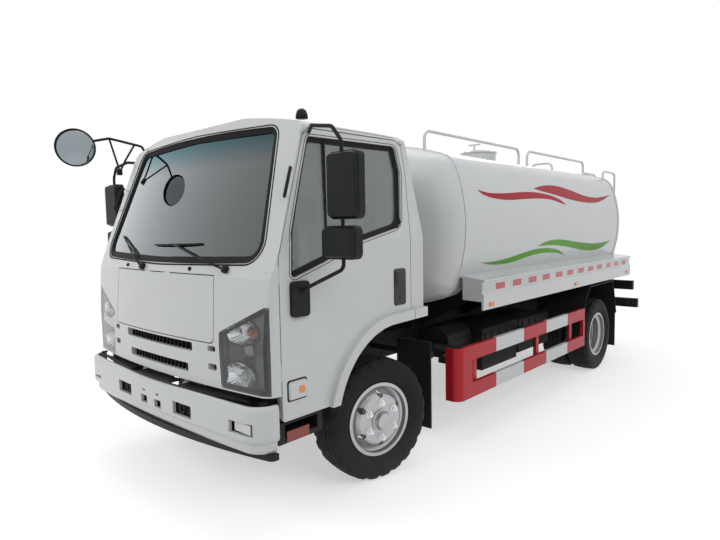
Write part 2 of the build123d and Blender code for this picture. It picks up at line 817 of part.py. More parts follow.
# Front axle beam with eyes for the kingpins
kingpin_x = front_track / 2 - kingpin_inset
pin_r = 16.0
eye_h = 96.0
beam_w = 76.0
with BuildPart() as front_axle:
    with BuildSketch(Plane(origin=(0, front_axle_y, 0), x_dir=(1, 0, 0), z_dir=(0, -1, 0))):
        with BuildLine():
            Polyline(
                (-kingpin_x, wheel_z + 34),
                (-560, wheel_z - 18),
                (560, wheel_z - 18),
                (kingpin_x, wheel_z + 34),
                (kingpin_x, wheel_z - 34),
                (560, wheel_z - 96),
                (-560, wheel_z - 96),
                (-kingpin_x, wheel_z - 34),
                close=True,
            )
        make_face()
    extrude(amount=beam_w / 2, both=True)
    web = block(-540, 540, front_axle_y + 10, front_axle_y + 90, wheel_z - 82, wheel_z - 32)
    add(web, mode=Mode.SUBTRACT)
    add(Pos(0, -100, 0) * web, mode=Mode.SUBTRACT)
    for pin_x in (-kingpin_x, kingpin_x):
        with BuildSketch(level(wheel_z - eye_h / 2)):
            with Locations((pin_x, front_axle_y)):
                Circle(36)
        extrude(amount=eye_h)
        with BuildSketch(level(wheel_z - eye_h / 2)):
            with Locations((pin_x, front_axle_y)):
                Circle(pin_r + fit)
        extrude(amount=eye_h, mode=Mode.SUBTRACT)
save(front_axle.part, "front_axle")

# Rear axle: banjo housing with its differential and the propeller shaft
rear_hub_x = rear_track / 2
axle_tube_r = 62.0
shaft_r = 42.0
rear_spindle_r = 40.0
shaft_start = Vector(0, rear_axle_y - 215, wheel_z)
shaft_run = Vector(0, front_axle_y + 905, 555) - shaft_start
with BuildPart() as rear_axle:
    with BuildSketch(across(0)):
        with Locations((rear_axle_y, wheel_z)):
            Circle(axle_tube_r)
    extrude(amount=rear_hub_x - 30, both=True)
    with BuildSketch(across(0)):
        with Locations((rear_axle_y, wheel_z)):
            Circle(165)
    extrude(amount=95, both=True)
    chamfer(rear_axle.edges().filter_by(GeomType.CIRCLE).sort_by(SortBy.RADIUS)[-2:], 40)
    with BuildSketch(facing(rear_axle_y)):
        with Locations((0, wheel_z)):
            Circle(78)
    extrude(amount=230)
    with BuildSketch(Plane(origin=shaft_start, z_dir=shaft_run)):
        Circle(shaft_r)
    extrude(amount=shaft_run.length)
    # Backing plates of the drums and the spindles that carry the hubs
    for side in (-1, 1):
        with BuildSketch(across(side * (rear_hub_x - 197))):
            with Locations((rear_axle_y, wheel_z)):
                Circle(148)
        extrude(amount=3, both=True)
    with BuildSketch(across(0)):
        with Locations((rear_axle_y, wheel_z)):
            Circle(rear_spindle_r)
    extrude(amount=rear_hub_x + 60, both=True)
save(rear_axle.part, "rear_axle")

# Leaf springs, front and rear, each a tapered pack with its hangers
spring_w = 70.0
leaf_t = 12.0
spring_table = (  # axle y, half length, leaf count, seat z
    (front_axle_y, 560, 4, wheel_z - 17),
    (rear_axle_y, 600, 7, wheel_z + axle_tube_r + 0.5),
)
spring_x = rail_half_w - 20
with BuildPart() as leaf_springs:
    for axle_y, spring_half, leaves, seat_base in spring_table:
        leaf_top = seat_base + leaves * leaf_t
        with BuildSketch(across(spring_x - spring_w / 2)):
            for i in range(leaves):
                reach = spring_half * (1 - 0.75 * i / leaves)
                with Locations((axle_y, leaf_top - leaf_t / 2 - i * leaf_t)):
                    Rectangle(2 * reach, leaf_t)
            for end in (-1, 1):
                with BuildLine():
                    Polyline(
                        (axle_y + end * (spring_half - 40), leaf_top - leaf_t),
                        (axle_y + end * (spring_half + 30), leaf_top - leaf_t),
                        (axle_y + end * (spring_half + 70), rail_bottom_z),
                        (axle_y + end * (spring_half - 80), rail_bottom_z),
                        close=True,
                    )
                make_face()
        extrude(amount=spring_w)
    mirror(leaf_springs.part, about=Plane.YZ)
save(leaf_springs.part, "leaf_springs")

# Engine and gearbox as one plain stepped block
with BuildPart() as engine_block:
    add(block(-290, 290, front_axle_y - 270, front_axle_y + 520, 520, 960))
    add(block(-190, 190, front_axle_y + 520, front_axle_y + 900, 500, 745))
    for mount_x in (-1, 1):
        add(
            block(
                *sorted((mount_x * 280, mount_x * (rail_half_w - rail_wall))),
                front_axle_y + 60,
                front_axle_y + 160,
                640,
                700,
            )
        )
save(engine_block.part, "engine_block")

# Fuel tank on the right, boxes and air tank on the left, air filter and silencer on the right
def strapped_drum(x, y0, y1, z, r):
    with BuildPart() as drum:
        with BuildSketch(facing(y0)):
            with Locations((x, z)):
                RectangleRounded(2 * r, 2 * r, 0.6 * r)
        extrude(amount=y0 - y1)
    return drum.part


fuel_x = -rail_half_w - 230
fuel_drum = strapped_drum(fuel_x, front_axle_y + 1100, front_axle_y + 1900, 545, 195)
with BuildPart() as fuel_tank:
    add(fuel_drum)
    for strap_y in (1250, 1750):
        add(block(fuel_x + 100, -rail_half_w, front_axle_y + strap_y - 25, front_axle_y + strap_y + 25, 620, 700))
save(fuel_tank.part, "fuel_tank")
with BuildPart() as side_boxes:
    add(block(rail_half_w, 890, front_axle_y + 1330, front_axle_y + 1960, 500, 760))
    add(block(rail_half_w, 870, front_axle_y + 2020, front_axle_y + 2480, 520, 740))
    with BuildSketch(facing(front_axle_y + 950)):
        with Locations((690, 690)):
            Circle(120)
    extrude(amount=-350)
    add(block(rail_half_w, 700, front_axle_y + 1080, front_axle_y + 1180, 640, 700))
    with BuildSketch(facing(front_axle_y + 560)):
        with Locations((-640, 700)):
            Circle(105)
    extrude(amount=-290)
    add(block(-640, -rail_half_w, front_axle_y + 650, front_axle_y + 740, 650, 700))
    with BuildSketch(facing(front_axle_y + 2150)):
        with Locations((-640, 560)):
            Circle(115)
    extrude(amount=-560)
    add(block(-600, -rail_half_w, front_axle_y + 2330, front_axle_y + 2380, 600, 660))
    add(block(-600, -rail_half_w, front_axle_y + 2580, front_axle_y + 2630, 600, 660))
    with BuildSketch(facing(front_axle_y + 2710)):
        with Locations((-640, 560)):
            Circle(32)
    extrude(amount=-160)
save(side_boxes.part, "side_boxes")

# Water tank: a barrel of four bowed sides with dished heads, and the manhole neck
def tank_ring(y, grow):
    """The tank's cross-section at the given Y, a box of four bowed sides with round corners."""
    half_h = (tank_top_z - tank_bottom_z) / 2
    reach_x = (tank_half_w - 100) * grow
    reach_z = (half_h - 100) * grow
    top_sag = reach_x ** 2 / (2 * tank_top_r * grow)
    side_sag = reach_z ** 2 / (2 * tank_side_r * grow)
    wide = tank_half_w * grow
    high = half_h * grow
    corner_x = wide - side_sag - 14 * grow
    corner_z = high - top_sag - 14 * grow
    plane = Plane(origin=(0, y, tank_mid_z), x_dir=(1, 0, 0), z_dir=(0, -1, 0))
    with BuildSketch(plane) as ring:
        with BuildLine():
            ThreePointArc((-corner_x, corner_z), (0, high), (corner_x, corner_z))
            ThreePointArc((corner_x, corner_z), (wide, 0), (corner_x, -corner_z))
            ThreePointArc((corner_x, -corner_z), (0, -high), (-corner_x, -corner_z))
            ThreePointArc((-corner_x, -corner_z), (-wide, 0), (-corner_x, corner_z))
        make_face()
        fillet(ring.vertices(), tank_corner_r * grow)
    return ring.sketch


head_steps = 5
head_rings = [(1.0, 0.0)]
for i in range(1, head_steps + 1):
    turn = radians(84 * i / head_steps)
    head_rings.append((0.30 + 0.70 * cos(turn), sin(turn)))
neck_low = tank_top_z - 60
barrel = extrude(tank_ring(tank_front_y, 1), tank_front_y - tank_rear_y)
heads = []
for head_y, way in ((tank_front_y, -1), (tank_rear_y, 1)):
    rings = [tank_ring(head_y + way * tank_head * d, k) for k, d in head_rings]
    heads.append(loft(rings))
beads = [extrude(tank_ring(y, 1.008), -24) for y in (tank_front_y - 12, tank_rear_y - 12)]
lid_z = tank_top_z + manhole_h + fit
lid_hinge_y = manhole_y + manhole_r + 45
lid_hinge_z = lid_z + 12
lid_pin_r = 6.7
with BuildPart() as water_tank:
    add(barrel)
    add(heads)
    add(beads)
    with BuildSketch(level(neck_low)):
        with Locations((0, manhole_y)):
            Circle(manhole_r)
    extrude(amount=tank_top_z - neck_low + manhole_h)
    with BuildSketch(level(tank_top_z - 30)):
        with Locations((0, manhole_y)):
            Circle(manhole_bore_r)
    extrude(amount=manhole_h + 60, mode=Mode.SUBTRACT)
    # Ears and pin for the manhole lid
    for ear_x in (-56, 56):
        with BuildSketch(across(ear_x)):
            with BuildLine():
                Polyline(
                    (manhole_y + manhole_r - 14, lid_z - 58),
                    (manhole_y + manhole_r - 14, lid_z - 30),
                    (lid_hinge_y - 16, lid_hinge_z),
                    (lid_hinge_y - 10, lid_hinge_z + 14),
                    (lid_hinge_y + 14, lid_hinge_z + 14),
                    (lid_hinge_y + 14, lid_hinge_z - 16),
                    close=True,
                )
            make_face()
        extrude(amount=5, both=True)
    with BuildSketch(across(0)):
        with Locations((lid_hinge_y, lid_hinge_z)):
            Circle(lid_pin_r)
    extrude(amount=61, both=True)
save(water_tank.part, "water_tank")

# Subframe: two sills on the rails and saddles shaped to the barrel
saddle_ys = (130, 820, 1480, 2060, 3300)  # behind the tank's front head
sill_top_z = rail_top_z + 80
with BuildPart() as tank_subframe:
    for side in (-1, 1):
        sill_x = side * (rail_half_w - rail_flange / 2)
        add(
            block(
                sill_x - 30,
                sill_x + 30,
                tank_front_y + 40,
                rail_rear_y,
                rail_top_z,
                sill_top_z,
            )
        )
    for saddle_y in saddle_ys:
        with BuildSketch(facing(tank_front_y + saddle_y)):
            with BuildLine():
                Polyline(
                    (-460, rail_top_z + 20),
                    (-skirt_inner_x, skirt_floor_z - 7),
                    (-skirt_inner_x, skirt_top_z + 4),
                    (skirt_inner_x, skirt_top_z + 4),
                    (skirt_inner_x, skirt_floor_z - 7),
                    (460, rail_top_z + 20),
                    close=True,
                )
            make_face()
        extrude(amount=-50)
    add(water_tank.part, mode=Mode.SUBTRACT)
save(tank_subframe.part, "tank_subframe")

# Manhole lid with its hinge lug and hand lever
with BuildPart() as manhole_lid:
    with BuildSketch(level(lid_z)):
        with Locations((0, manhole_y)):
            Circle(manhole_r + 14)
    extrude(amount=12)
    with BuildSketch(level(lid_z + 12)):
        with Locations((0, manhole_y)):
            Circle(manhole_r - 20)
    extrude(amount=20, taper=62)
    with BuildSketch(across(0)):
        with Locations((lid_hinge_y, lid_hinge_z)):
            Circle(14)
        with Locations((lid_hinge_y - 35, lid_z + 8)):
            Rectangle(70, 16)
    extrude(amount=50, both=True)
    with BuildSketch(across(0)):
        with Locations((lid_hinge_y, lid_hinge_z)):
            Circle(lid_pin_r + fit)
    extrude(amount=60, both=True, mode=Mode.SUBTRACT)
    with BuildSketch(level(lid_z + 20)):
        with Locations((0, manhole_y - 90)):
            Circle(10)
    extrude(amount=76)
    add(block(-70, 70, manhole_y - 99, manhole_y - 81, lid_z + 86, lid_z + 102))
save(manhole_lid.part, "manhole_lid")

# Top rails: two long loops on the left of the walkway and two grab loops by the ladder
rail_x = 560.0
loop_r = 13.0
loop_top_z = 2375.0
loop_foot_z = tank_top_z - 80
loops = (  # start x, start y behind the tank's front, end x, end y, top z
    (rail_x, 45, rail_x, 1685, loop_top_z),
    (rail_x, 1875, rail_x, 3450, loop_top_z),
    (-80, 3360, 200, 3360, loop_top_z + 20),
)
loop_rods = []
for start_x, start_y, end_x, end_y, loop_z in loops:
    corners = (
        (start_x, tank_front_y + start_y, loop_foot_z),
        (start_x, tank_front_y + start_y, loop_z),
        (end_x, tank_front_y + end_y, loop_z),
        (end_x, tank_front_y + end_y, loop_foot_z),
    )
    loop_rods.append(tube(corners, 70, loop_r))
with BuildPart() as top_rails:
    add(loop_rods)
    add(water_tank.part, mode=Mode.SUBTRACT)
save(top_rails.part, "top_rails")

# Skirts along both sides of the tank, with a lip that hangs below
skirt_top_in = 898.0
with BuildPart() as skirts:
    with BuildSketch(facing(skirt_front_y)):
        for side in (1, -1):
            with BuildLine():
                Polyline(
                    (side * skirt_top_in, skirt_top_z + 27),
                    (side * skirt_outer_x, skirt_top_z),
                    (side * skirt_outer_x, skirt_top_z - 12),
                    (side * (skirt_outer_x - 16), skirt_top_z - 20),
                    (side * (skirt_outer_x - 18), 1108),
                    (side * (skirt_outer_x - 4), 1096),
                    (side * (skirt_outer_x - 4), 1084),
                    (side * (skirt_outer_x - 7), skirt_bottom_z),
                    (side * (skirt_outer_x - 21), skirt_bottom_z),
                    (side * (skirt_outer_x - 21), skirt_floor_z - 7),
                    (side * skirt_inner_x, skirt_floor_z),
                    (side * skirt_inner_x, skirt_top_z + 6),
                    (side * skirt_top_in, skirt_top_z + 11),
                    close=True,
                )
            make_face()
    extrude(amount=skirt_front_y - skirt_rear_y)
    add(water_tank.part, mode=Mode.SUBTRACT)
save(skirts.part, "skirts")

# Side guards: two rails of channel on each side, joined by end posts and hung from the frame
guard_post_ys = (909, 1990, 2749)  # behind the front axle
with BuildPart() as side_guards:
    with BuildSketch(across(guard_outer_x)):
        mid_y = (guard_front_y + guard_rear_y) / 2
        mid_z = (guard_top_z + guard_bottom_z) / 2
        length = guard_rear_y - guard_front_y
        height = guard_top_z - guard_bottom_z
        with Locations((mid_y, mid_z)):
            Rectangle(length, height)
    extrude(amount=-guard_depth)
    front_edges = side_guards.edges().filter_by(Axis.X).group_by(Axis.Y)[0]
    fillet(front_edges, 60)
    with BuildSketch(across(guard_outer_x + 5)):
        with Locations((mid_y + 45, mid_z)):
            Rectangle(length - 170, height - 2 * guard_rail_h)
    extrude(amount=-guard_depth - 10, mode=Mode.SUBTRACT)
    # The rails are channels, open towards the frame
    for rail_z in (guard_top_z - guard_rail_h / 2, guard_bottom_z + guard_rail_h / 2):
        with BuildSketch(across(guard_outer_x - guard_depth)):
            with Locations((mid_y + 45, rail_z)):
                Rectangle(length - 150, guard_rail_h - 10)
        extrude(amount=guard_depth - 5, mode=Mode.SUBTRACT)
    for post_y in guard_post_ys:
        post_front = front_axle_y + post_y - 25
        add(
            block(
                guard_outer_x - guard_depth - 30,
                guard_outer_x - guard_depth,
                post_front,
                post_front + 50,
                guard_bottom_z + 10,
                guard_top_z - 10,
            )
        )
        add(
            block(
                rail_half_w,
                guard_outer_x - guard_depth,
                post_front + 5,
                post_front + 45,
                guard_top_z - 90,
                guard_top_z - 50,
            )
        )
    mirror(side_guards.part, about=Plane.YZ)
save(side_guards.part, "side_guards")

# Ladder at the rear left, hooked over the top of the tank
ladder_xs = (590.0, 830.0)
ladder_y = front_axle_y + 4750
ladder_rods = []
for ladder_x in ladder_xs:
    corners = (
        (ladder_x, ladder_y + 50, 600),
        (ladder_x, ladder_y, 900),
        (ladder_x, ladder_y, 2236),
        (ladder_x, tank_rear_y - 160, 2236),
        (ladder_x, tank_rear_y - 160, 2050),
    )
    ladder_rods.append(tube(corners, (40, 60, 40), 12))
rung_zs = (960, 1220, 1480, 1740, 2000)
with BuildPart() as ladder:
    add(ladder_rods)
    for rung_z in rung_zs:
        with BuildSketch(across(ladder_xs[0])):
            with Locations((ladder_y, rung_z)):
                Circle(10)
        extrude(amount=ladder_xs[1] - ladder_xs[0])
    add(water_tank.part, mode=Mode.SUBTRACT)
save(ladder.part, "ladder")

# Rear guard: a lamp beam across the frame's end and an underrun bar on two plates
bar_y = front_axle_y + 4790
beam_half_w = 1115.0
with BuildPart() as rear_guard:
    add(block(-beam_half_w, beam_half_w, rail_rear_y, rail_rear_y + 50, rail_top_z + 10, 895))
    add(block(-beam_half_w - 10, beam_half_w + 10, bar_y - 30, bar_y + 30, 545, 655))
    for side in (-1, 1):
        plate_x = side * (rail_half_w - rail_wall / 2)
        with BuildSketch(across(plate_x)):
            with BuildLine():
                Polyline(
                    (rail_rear_y, rail_top_z - 8),
                    (rail_rear_y + 60, rail_top_z - 8),
                    (bar_y - 28, 648),
                    (bar_y - 28, 552),
                    (rail_rear_y, rail_bottom_z + 8),
                    close=True,
                )
            make_face()
        extrude(amount=rail_wall / 2, both=True)
        hole_x = side * (beam_half_w - 35)
        with BuildSketch(facing(bar_y + 40)):
            with Locations((hole_x, 600), (hole_x - side * 60, 600)):
                Circle(9)
        extrude(amount=90, mode=Mode.SUBTRACT)
    add(ladder.part, mode=Mode.SUBTRACT)
save(rear_guard.part, "rear_guard")

# Tail lamps on the rear face of the lamp beam
with BuildPart() as tail_lamps:
    with BuildSketch(facing(rail_rear_y + 50)):
        with Locations((-beam_half_w + 200, 840), (beam_half_w - 200, 840)):
            RectangleRounded(320, 96, 14)
    extrude(amount=-58)
save(tail_lamps.part, "tail_lamps")

# Mudguards: a flap behind each front wheel, a folded guard and a flap over each twin wheel
rear_guard_top = 950.0
with BuildPart() as mudguards:
    guard_line = (
        (rear_axle_y - 470, 560),
        (rear_axle_y - 440, 800),
        (rear_axle_y - 300, rear_guard_top),
        (rear_axle_y + 440, rear_guard_top),
        (rear_axle_y + 560, 560),
    )
    with BuildSketch(across(560)):
        with BuildLine():
            Polyline(
                *guard_line,
                (rear_axle_y + 550, 560),
                (rear_axle_y + 432, rear_guard_top - 10),
                (rear_axle_y - 294, rear_guard_top - 10),
                (rear_axle_y - 431, 794),
                (rear_axle_y - 460, 560),
                close=True,
            )
        make_face()
    extrude(amount=520)
    add(block(580, 1070, rear_axle_y + 540, rear_axle_y + 550, 170, 600))
    for arm_offset in (-150, 330):
        arm_front = rear_axle_y + arm_offset
        add(block(rail_half_w, rail_half_w + 30, arm_front, arm_front + 40, 720, 962))
        add(block(rail_half_w, 1000, arm_front, arm_front + 40, rear_guard_top - 1, 962))
    # Front flap and the arm that carries it
    add(block(690, 985, front_axle_y + 452, front_axle_y + 464, 200, 815))
    add(block(rail_half_w, 985, front_axle_y + 464, front_axle_y + 494, 700, 740))
    mirror(mudguards.part, about=Plane.YZ)
save(mudguards.part, "mudguards")


# Wheels and steering knuckles
# Each is drawn in a section plane whose x runs outward along the axle and whose y is the radius.
def wheel_side(side, angle):
    """Outward direction of a wheel on the given side when it is steered by the given angle."""
    return Vector(side * cos(radians(angle)), side * sin(radians(angle)), 0)


def section_plane(centre, out):
    return Plane(origin=centre, x_dir=out, z_dir=Vector(out.Y, -out.X, 0))


def turned(centre, out, outline):
    """A solid of revolution about the axle from a list of axial and radial places."""
    with BuildPart() as body:
        with BuildSketch(section_plane(centre, out)):
            with BuildLine():
                Polyline(*outline, close=True)
            make_face()
        revolve(axis=Axis(centre, out))
    return body.part


tyre_half = tyre_w / 2
rim_half = rim_w / 2
bead = rim_half - 8.3
tyre_outline = (
    (-bead, rim_seat_r + fit),
    (-bead, rim_flange_r + 3),
    (-tyre_half + 3, 282),
    (-tyre_half, 318),
    (-tyre_half + 10, 366),
    (-tyre_half + 26, tyre_r - 5),
    (0, tyre_r),
    (tyre_half - 26, tyre_r - 5),
    (tyre_half - 10, 366),
    (tyre_half, 318),
    (tyre_half - 3, 282),
    (bead, rim_flange_r + 3),
    (bead, rim_seat_r + fit),
    (bead - 14, rim_seat_r + fit),
    (tyre_half - 16, 292),
    (tyre_half - 28, tyre_r - 24),
    (-tyre_half + 28, tyre_r - 24),
    (-tyre_half + 16, 292),
    (-bead + 14, rim_seat_r + fit),
)
disc_r = 146.0
well_r = 195.0
hub_r = 62.0


def rim_outline(face):
    """Barrel and disc of a rim whose disc stands out from the wheel's middle by the given amount."""
    return (
        (-rim_half, rim_seat_r - 8),
        (-rim_half, rim_flange_r),
        (-rim_half + 7, rim_flange_r),
        (-rim_half + 8, rim_seat_r),
        (-60, rim_seat_r - 2),
        (-42, well_r),
        (42, well_r),
        (60, rim_seat_r - 2),
        (rim_half - 8, rim_seat_r),
        (rim_half - 7, rim_flange_r),
        (rim_half, rim_flange_r),
        (rim_half, rim_seat_r - 8),
        (62, rim_seat_r - 10),
        (46, well_r - 8),
        (0.72 * face, well_r - 17),
        (face - 8, disc_r + 14),
        (face, disc_r),
        (face, hub_r),
        (face - 10, hub_r),
        (face - 10, disc_r - 3),
        (face - 18, disc_r + 8),
        (0.65 * face, well_r - 27),
        (20, well_r - 19),
        (14, well_r - 8),
        (-44, well_r - 8),
        (-62, rim_seat_r - 10),
    )


front_face = 108.0
rear_face = twin_spacing / 2
spindle_r = 25.0
hand_hole_r = 20.0
hand_holes = 6
front_hub = (
    (20, spindle_r + fit),
    (20, hub_r + 8),
    (84, hub_r + 8),
    (84, 138),
    (6, 138),
    (6, 150),
    (92, 150),
    (92, hub_r + 8),
    (front_face + 10, hub_r + 8),
    (front_face + 12, hub_r),
    (front_face + 40, hub_r - 12),
    (front_face + 42, 0),
    (front_face + 6, 0),
    (front_face + 6, spindle_r + fit),
)
rear_hub = (
    (-26, rear_spindle_r + fit),
    (-26, hub_r + 8),
    (-22, hub_r + 8),
    (-22, 138),
    (-190, 138),
    (-190, 150),
    (-11, 150),
    (-11, hub_r + 16),
    (11, hub_r + 16),
    (86, hub_r + 12),
    (90, hub_r),
    (118, hub_r - 6),
    (120, 0),
    (64, 0),
    (64, rear_spindle_r + fit),
)


def holed(rim, centre, out, face):
    """The rim with its round hand holes cut through the slope of the disc."""
    with BuildPart() as body:
        add(rim)
        with BuildSketch(Plane(origin=centre + out * (face + 5), x_dir=(0, 0, 1), z_dir=out)):
            with PolarLocations(disc_r + 16, hand_holes):
                Circle(hand_hole_r)
        extrude(amount=-face, mode=Mode.SUBTRACT)
    return body.part


for side, word in ((1, "left"), (-1, "right")):
    pin_x = side * kingpin_x
    out = wheel_side(side, steer_at_rest)
    pin_centre = Vector(pin_x, front_axle_y, wheel_z)
    centre = pin_centre + out * kingpin_inset
    # Front wheel
    front_tyre = turned(centre, out, tyre_outline)
    save(front_tyre, f"front_tyre_{word}")
    front_rim = holed(turned(centre, out, rim_outline(front_face)), centre, out, front_face)
    front_rim += turned(centre, out, front_hub)
    save(front_rim, f"front_rim_{word}")
    # Knuckle: kingpin, ears above and below the axle's eye, flange, backing plate and spindle
    with BuildPart() as knuckle:
        ear_t = 22
        low = wheel_z - eye_h / 2 - fit - ear_t
        with BuildSketch(level(low)):
            with Locations((pin_x, front_axle_y)):
                Circle(pin_r)
        extrude(amount=eye_h + 2 * fit + 2 * ear_t)
        for ear_low in (low, wheel_z + eye_h / 2 + fit):
            with BuildSketch(level(ear_low)):
                with Locations((pin_x, front_axle_y)):
                    Circle(35)
            extrude(amount=ear_t)
            with BuildSketch(Plane(origin=(pin_x, front_axle_y, ear_low), x_dir=out, z_dir=(0, 0, 1))):
                with Locations((25, 0)):
                    Rectangle(50, 60)
            extrude(amount=ear_t)
        with BuildSketch(Plane(origin=pin_centre + out * 42, x_dir=(0, 0, 1), z_dir=out)):
            Rectangle(2 * (eye_h / 2 + fit + ear_t), 110)
        extrude(amount=16)
        with BuildSketch(Plane(origin=pin_centre + out * 57, x_dir=(0, 0, 1), z_dir=out)):
            Circle(148)
        extrude(amount=6)
        with BuildSketch(Plane(origin=pin_centre + out * 57, x_dir=(0, 0, 1), z_dir=out)):
            Circle(spindle_r)
        extrude(amount=kingpin_inset + front_face + 2 - 57)
    save(knuckle.part, f"knuckle_{word}")
    # Rear twin wheels, two tyres and two rims back to back on one hub
    rear_out = Vector(side, 0, 0)
    hub_centre = Vector(side * rear_hub_x, rear_axle_y, wheel_z)
    rear_tyres = []
    rear_rims = [turned(hub_centre, rear_out, rear_hub)]
    for way in (1, -1):
        twin_centre = hub_centre + rear_out * way * twin_spacing / 2
        rear_tyres.append(turned(twin_centre, rear_out, tyre_outline))
        disc_way = rear_out * -way
        twin_rim = turned(twin_centre, disc_way, rim_outline(rear_face))
        rear_rims.append(holed(twin_rim, twin_centre, disc_way, rear_face))
    with BuildPart() as tyre_pair:
        add(rear_tyres)
    save(tyre_pair.part, f"rear_tyres_{word}")
    with BuildPart() as rim_pair:
        add(rear_rims)
    save(rim_pair.part, f"rear_rims_{word}")
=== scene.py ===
from itertools import product
from math import atan2, cos, pi, radians, sin

import bmesh
import bpy
from mathutils import Matrix, Vector
from mathutils.bvhtree import BVHTree


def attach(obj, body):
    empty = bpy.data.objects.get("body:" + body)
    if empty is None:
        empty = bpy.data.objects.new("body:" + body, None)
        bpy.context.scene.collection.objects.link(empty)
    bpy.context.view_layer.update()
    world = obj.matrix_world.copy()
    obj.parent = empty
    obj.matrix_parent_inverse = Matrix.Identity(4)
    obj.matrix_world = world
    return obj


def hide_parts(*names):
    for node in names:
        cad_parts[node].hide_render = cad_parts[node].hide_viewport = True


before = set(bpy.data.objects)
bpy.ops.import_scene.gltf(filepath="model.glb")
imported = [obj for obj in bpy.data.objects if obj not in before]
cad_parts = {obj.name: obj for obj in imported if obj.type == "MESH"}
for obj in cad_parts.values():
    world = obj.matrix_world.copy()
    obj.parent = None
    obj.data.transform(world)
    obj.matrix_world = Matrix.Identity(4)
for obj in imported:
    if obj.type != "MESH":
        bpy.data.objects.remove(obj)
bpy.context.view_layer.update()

# Camera. It stands ahead of the truck's left front corner, a little below the mirrors' middle,
# and is rolled by one degree as a camera held by hand is.
def new_object(name, data):
    """An object of the scene that holds the data."""
    thing = bpy.data.objects.new(name, data)
    bpy.context.scene.collection.objects.link(thing)
    return thing


camera = new_object("camera", bpy.data.cameras.new("camera"))
camera.data.lens = 27.3
camera.data.sensor_width = 36.0
camera.data.clip_end = 200.0
turn = Matrix.Rotation(radians(42.293), 4, "Z") @ Matrix.Rotation(radians(90 - 4.496), 4, "X")
camera.matrix_world = (
    Matrix.Translation((3.1379, -4.4276, 1.616)) @ turn @ Matrix.Rotation(radians(-1.013), 4, "Z")
)
bpy.context.scene.camera = camera
bpy.context.scene.view_settings.view_transform = "Standard"

# The front axle's place along the truck, from the middle of its length
axle_y = -1.805


def at(x, y, z):
    """A place in metres, counted along the truck from the front axle."""
    return Vector((x, y + axle_y, z))


# Studio. Four soft lamps hang round the truck, over a pale floor and under a pale sky.
# The camera, mirrors and glass see a white background, and the floor keeps the truck's shadow.
def area_lamp(name, place, aim, width, power):
    lamp = new_object(name, bpy.data.lights.new(name, "AREA"))
    lamp.data.shape = "RECTANGLE"
    lamp.data.size = width
    lamp.data.size_y = width * 0.6
    lamp.data.energy = power
    lamp.visible_glossy = name not in ("front_lamp", "side_lamp")
    lamp.location = place
    lamp.rotation_euler = (Vector(aim) - Vector(place)).to_track_quat("-Z", "Y").to_euler()


area_lamp("front_lamp", (-4.5, -10, 7), (0, -2, 1), 7, 430)
area_lamp("side_lamp", (9, -3, 7), (0, 0, 1), 8, 330)
area_lamp("rear_lamp", (-6, 9, 6), (0, 2, 1), 7, 220)
area_lamp("top_lamp", (0, 0, 10), (0, 0, 1), 9, 190)


def new_node(tree, kind, inputs=None, **settings):
    """A shader node with its settings; an input gets a value, a socket or a node's first output."""
    node = tree.nodes.new(kind)
    for name, value in settings.items():
        setattr(node, name, value)
    for socket, value in (inputs or {}).items():
        if isinstance(value, bpy.types.Node):
            value = value.outputs[0]
        if isinstance(value, bpy.types.NodeSocket):
            tree.links.new(value, node.inputs[socket])
        else:
            node.inputs[socket].default_value = value
    return node


def math_node(tree, operation, *inputs):
    """A math node over its inputs in their order."""
    return new_node(tree, "ShaderNodeMath", dict(enumerate(inputs)), operation=operation)


def mix_color(tree, factor, first, second):
    """The colour mixed from two by a factor."""
    inputs = {"Factor": factor, "A": first, "B": second}
    return new_node(tree, "ShaderNodeMix", inputs, data_type="RGBA").outputs["Result"]


def light_path_mix(tree, seen, unseen):
    """Joins two shaders: the first where the camera, a mirror or glass looks, else the second."""
    path = tree.nodes.new("ShaderNodeLightPath")
    seen_by = path.outputs["Is Camera Ray"]
    for ray in ("Is Glossy Ray", "Is Transmission Ray"):
        seen_by = math_node(tree, "MAXIMUM", seen_by, path.outputs[ray])
    return new_node(tree, "ShaderNodeMixShader", {0: seen_by, 1: unseen, 2: seen})


world = bpy.data.worlds.new("studio")
bpy.context.scene.world = world
world.use_nodes = True
sky = world.node_tree
sky.nodes.clear()
white_sky = new_node(sky, "ShaderNodeBackground", {"Color": (1, 1, 1, 1), "Strength": 1.0})
soft_sky = new_node(sky, "ShaderNodeBackground", {"Color": (0.92, 0.96, 1, 1), "Strength": 0.3})
new_node(sky, "ShaderNodeOutputWorld", {0: light_path_mix(sky, white_sky, soft_sky)})

floor_mesh = bpy.data.meshes.new("floor")
floor_mesh.from_pydata([(-60, -60, 0), (60, -60, 0), (60, 60, 0), (-60, 60, 0)], [], [(0, 1, 2, 3)])
floor = new_object("floor", floor_mesh)
floor_material = bpy.data.materials.new("pale_floor")
floor_material.use_nodes = True
floor_tree = floor_material.node_tree
floor_bsdf = floor_tree.nodes["Principled BSDF"]
floor_bsdf.inputs["Base Color"].default_value = (0.82, 0.82, 0.82, 1)
floor_bsdf.inputs["Roughness"].default_value = 0.9
glow = new_node(floor_tree, "ShaderNodeEmission", {"Strength": 0.5})
lifted = new_node(floor_tree, "ShaderNodeAddShader", {0: floor_bsdf, 1: glow})
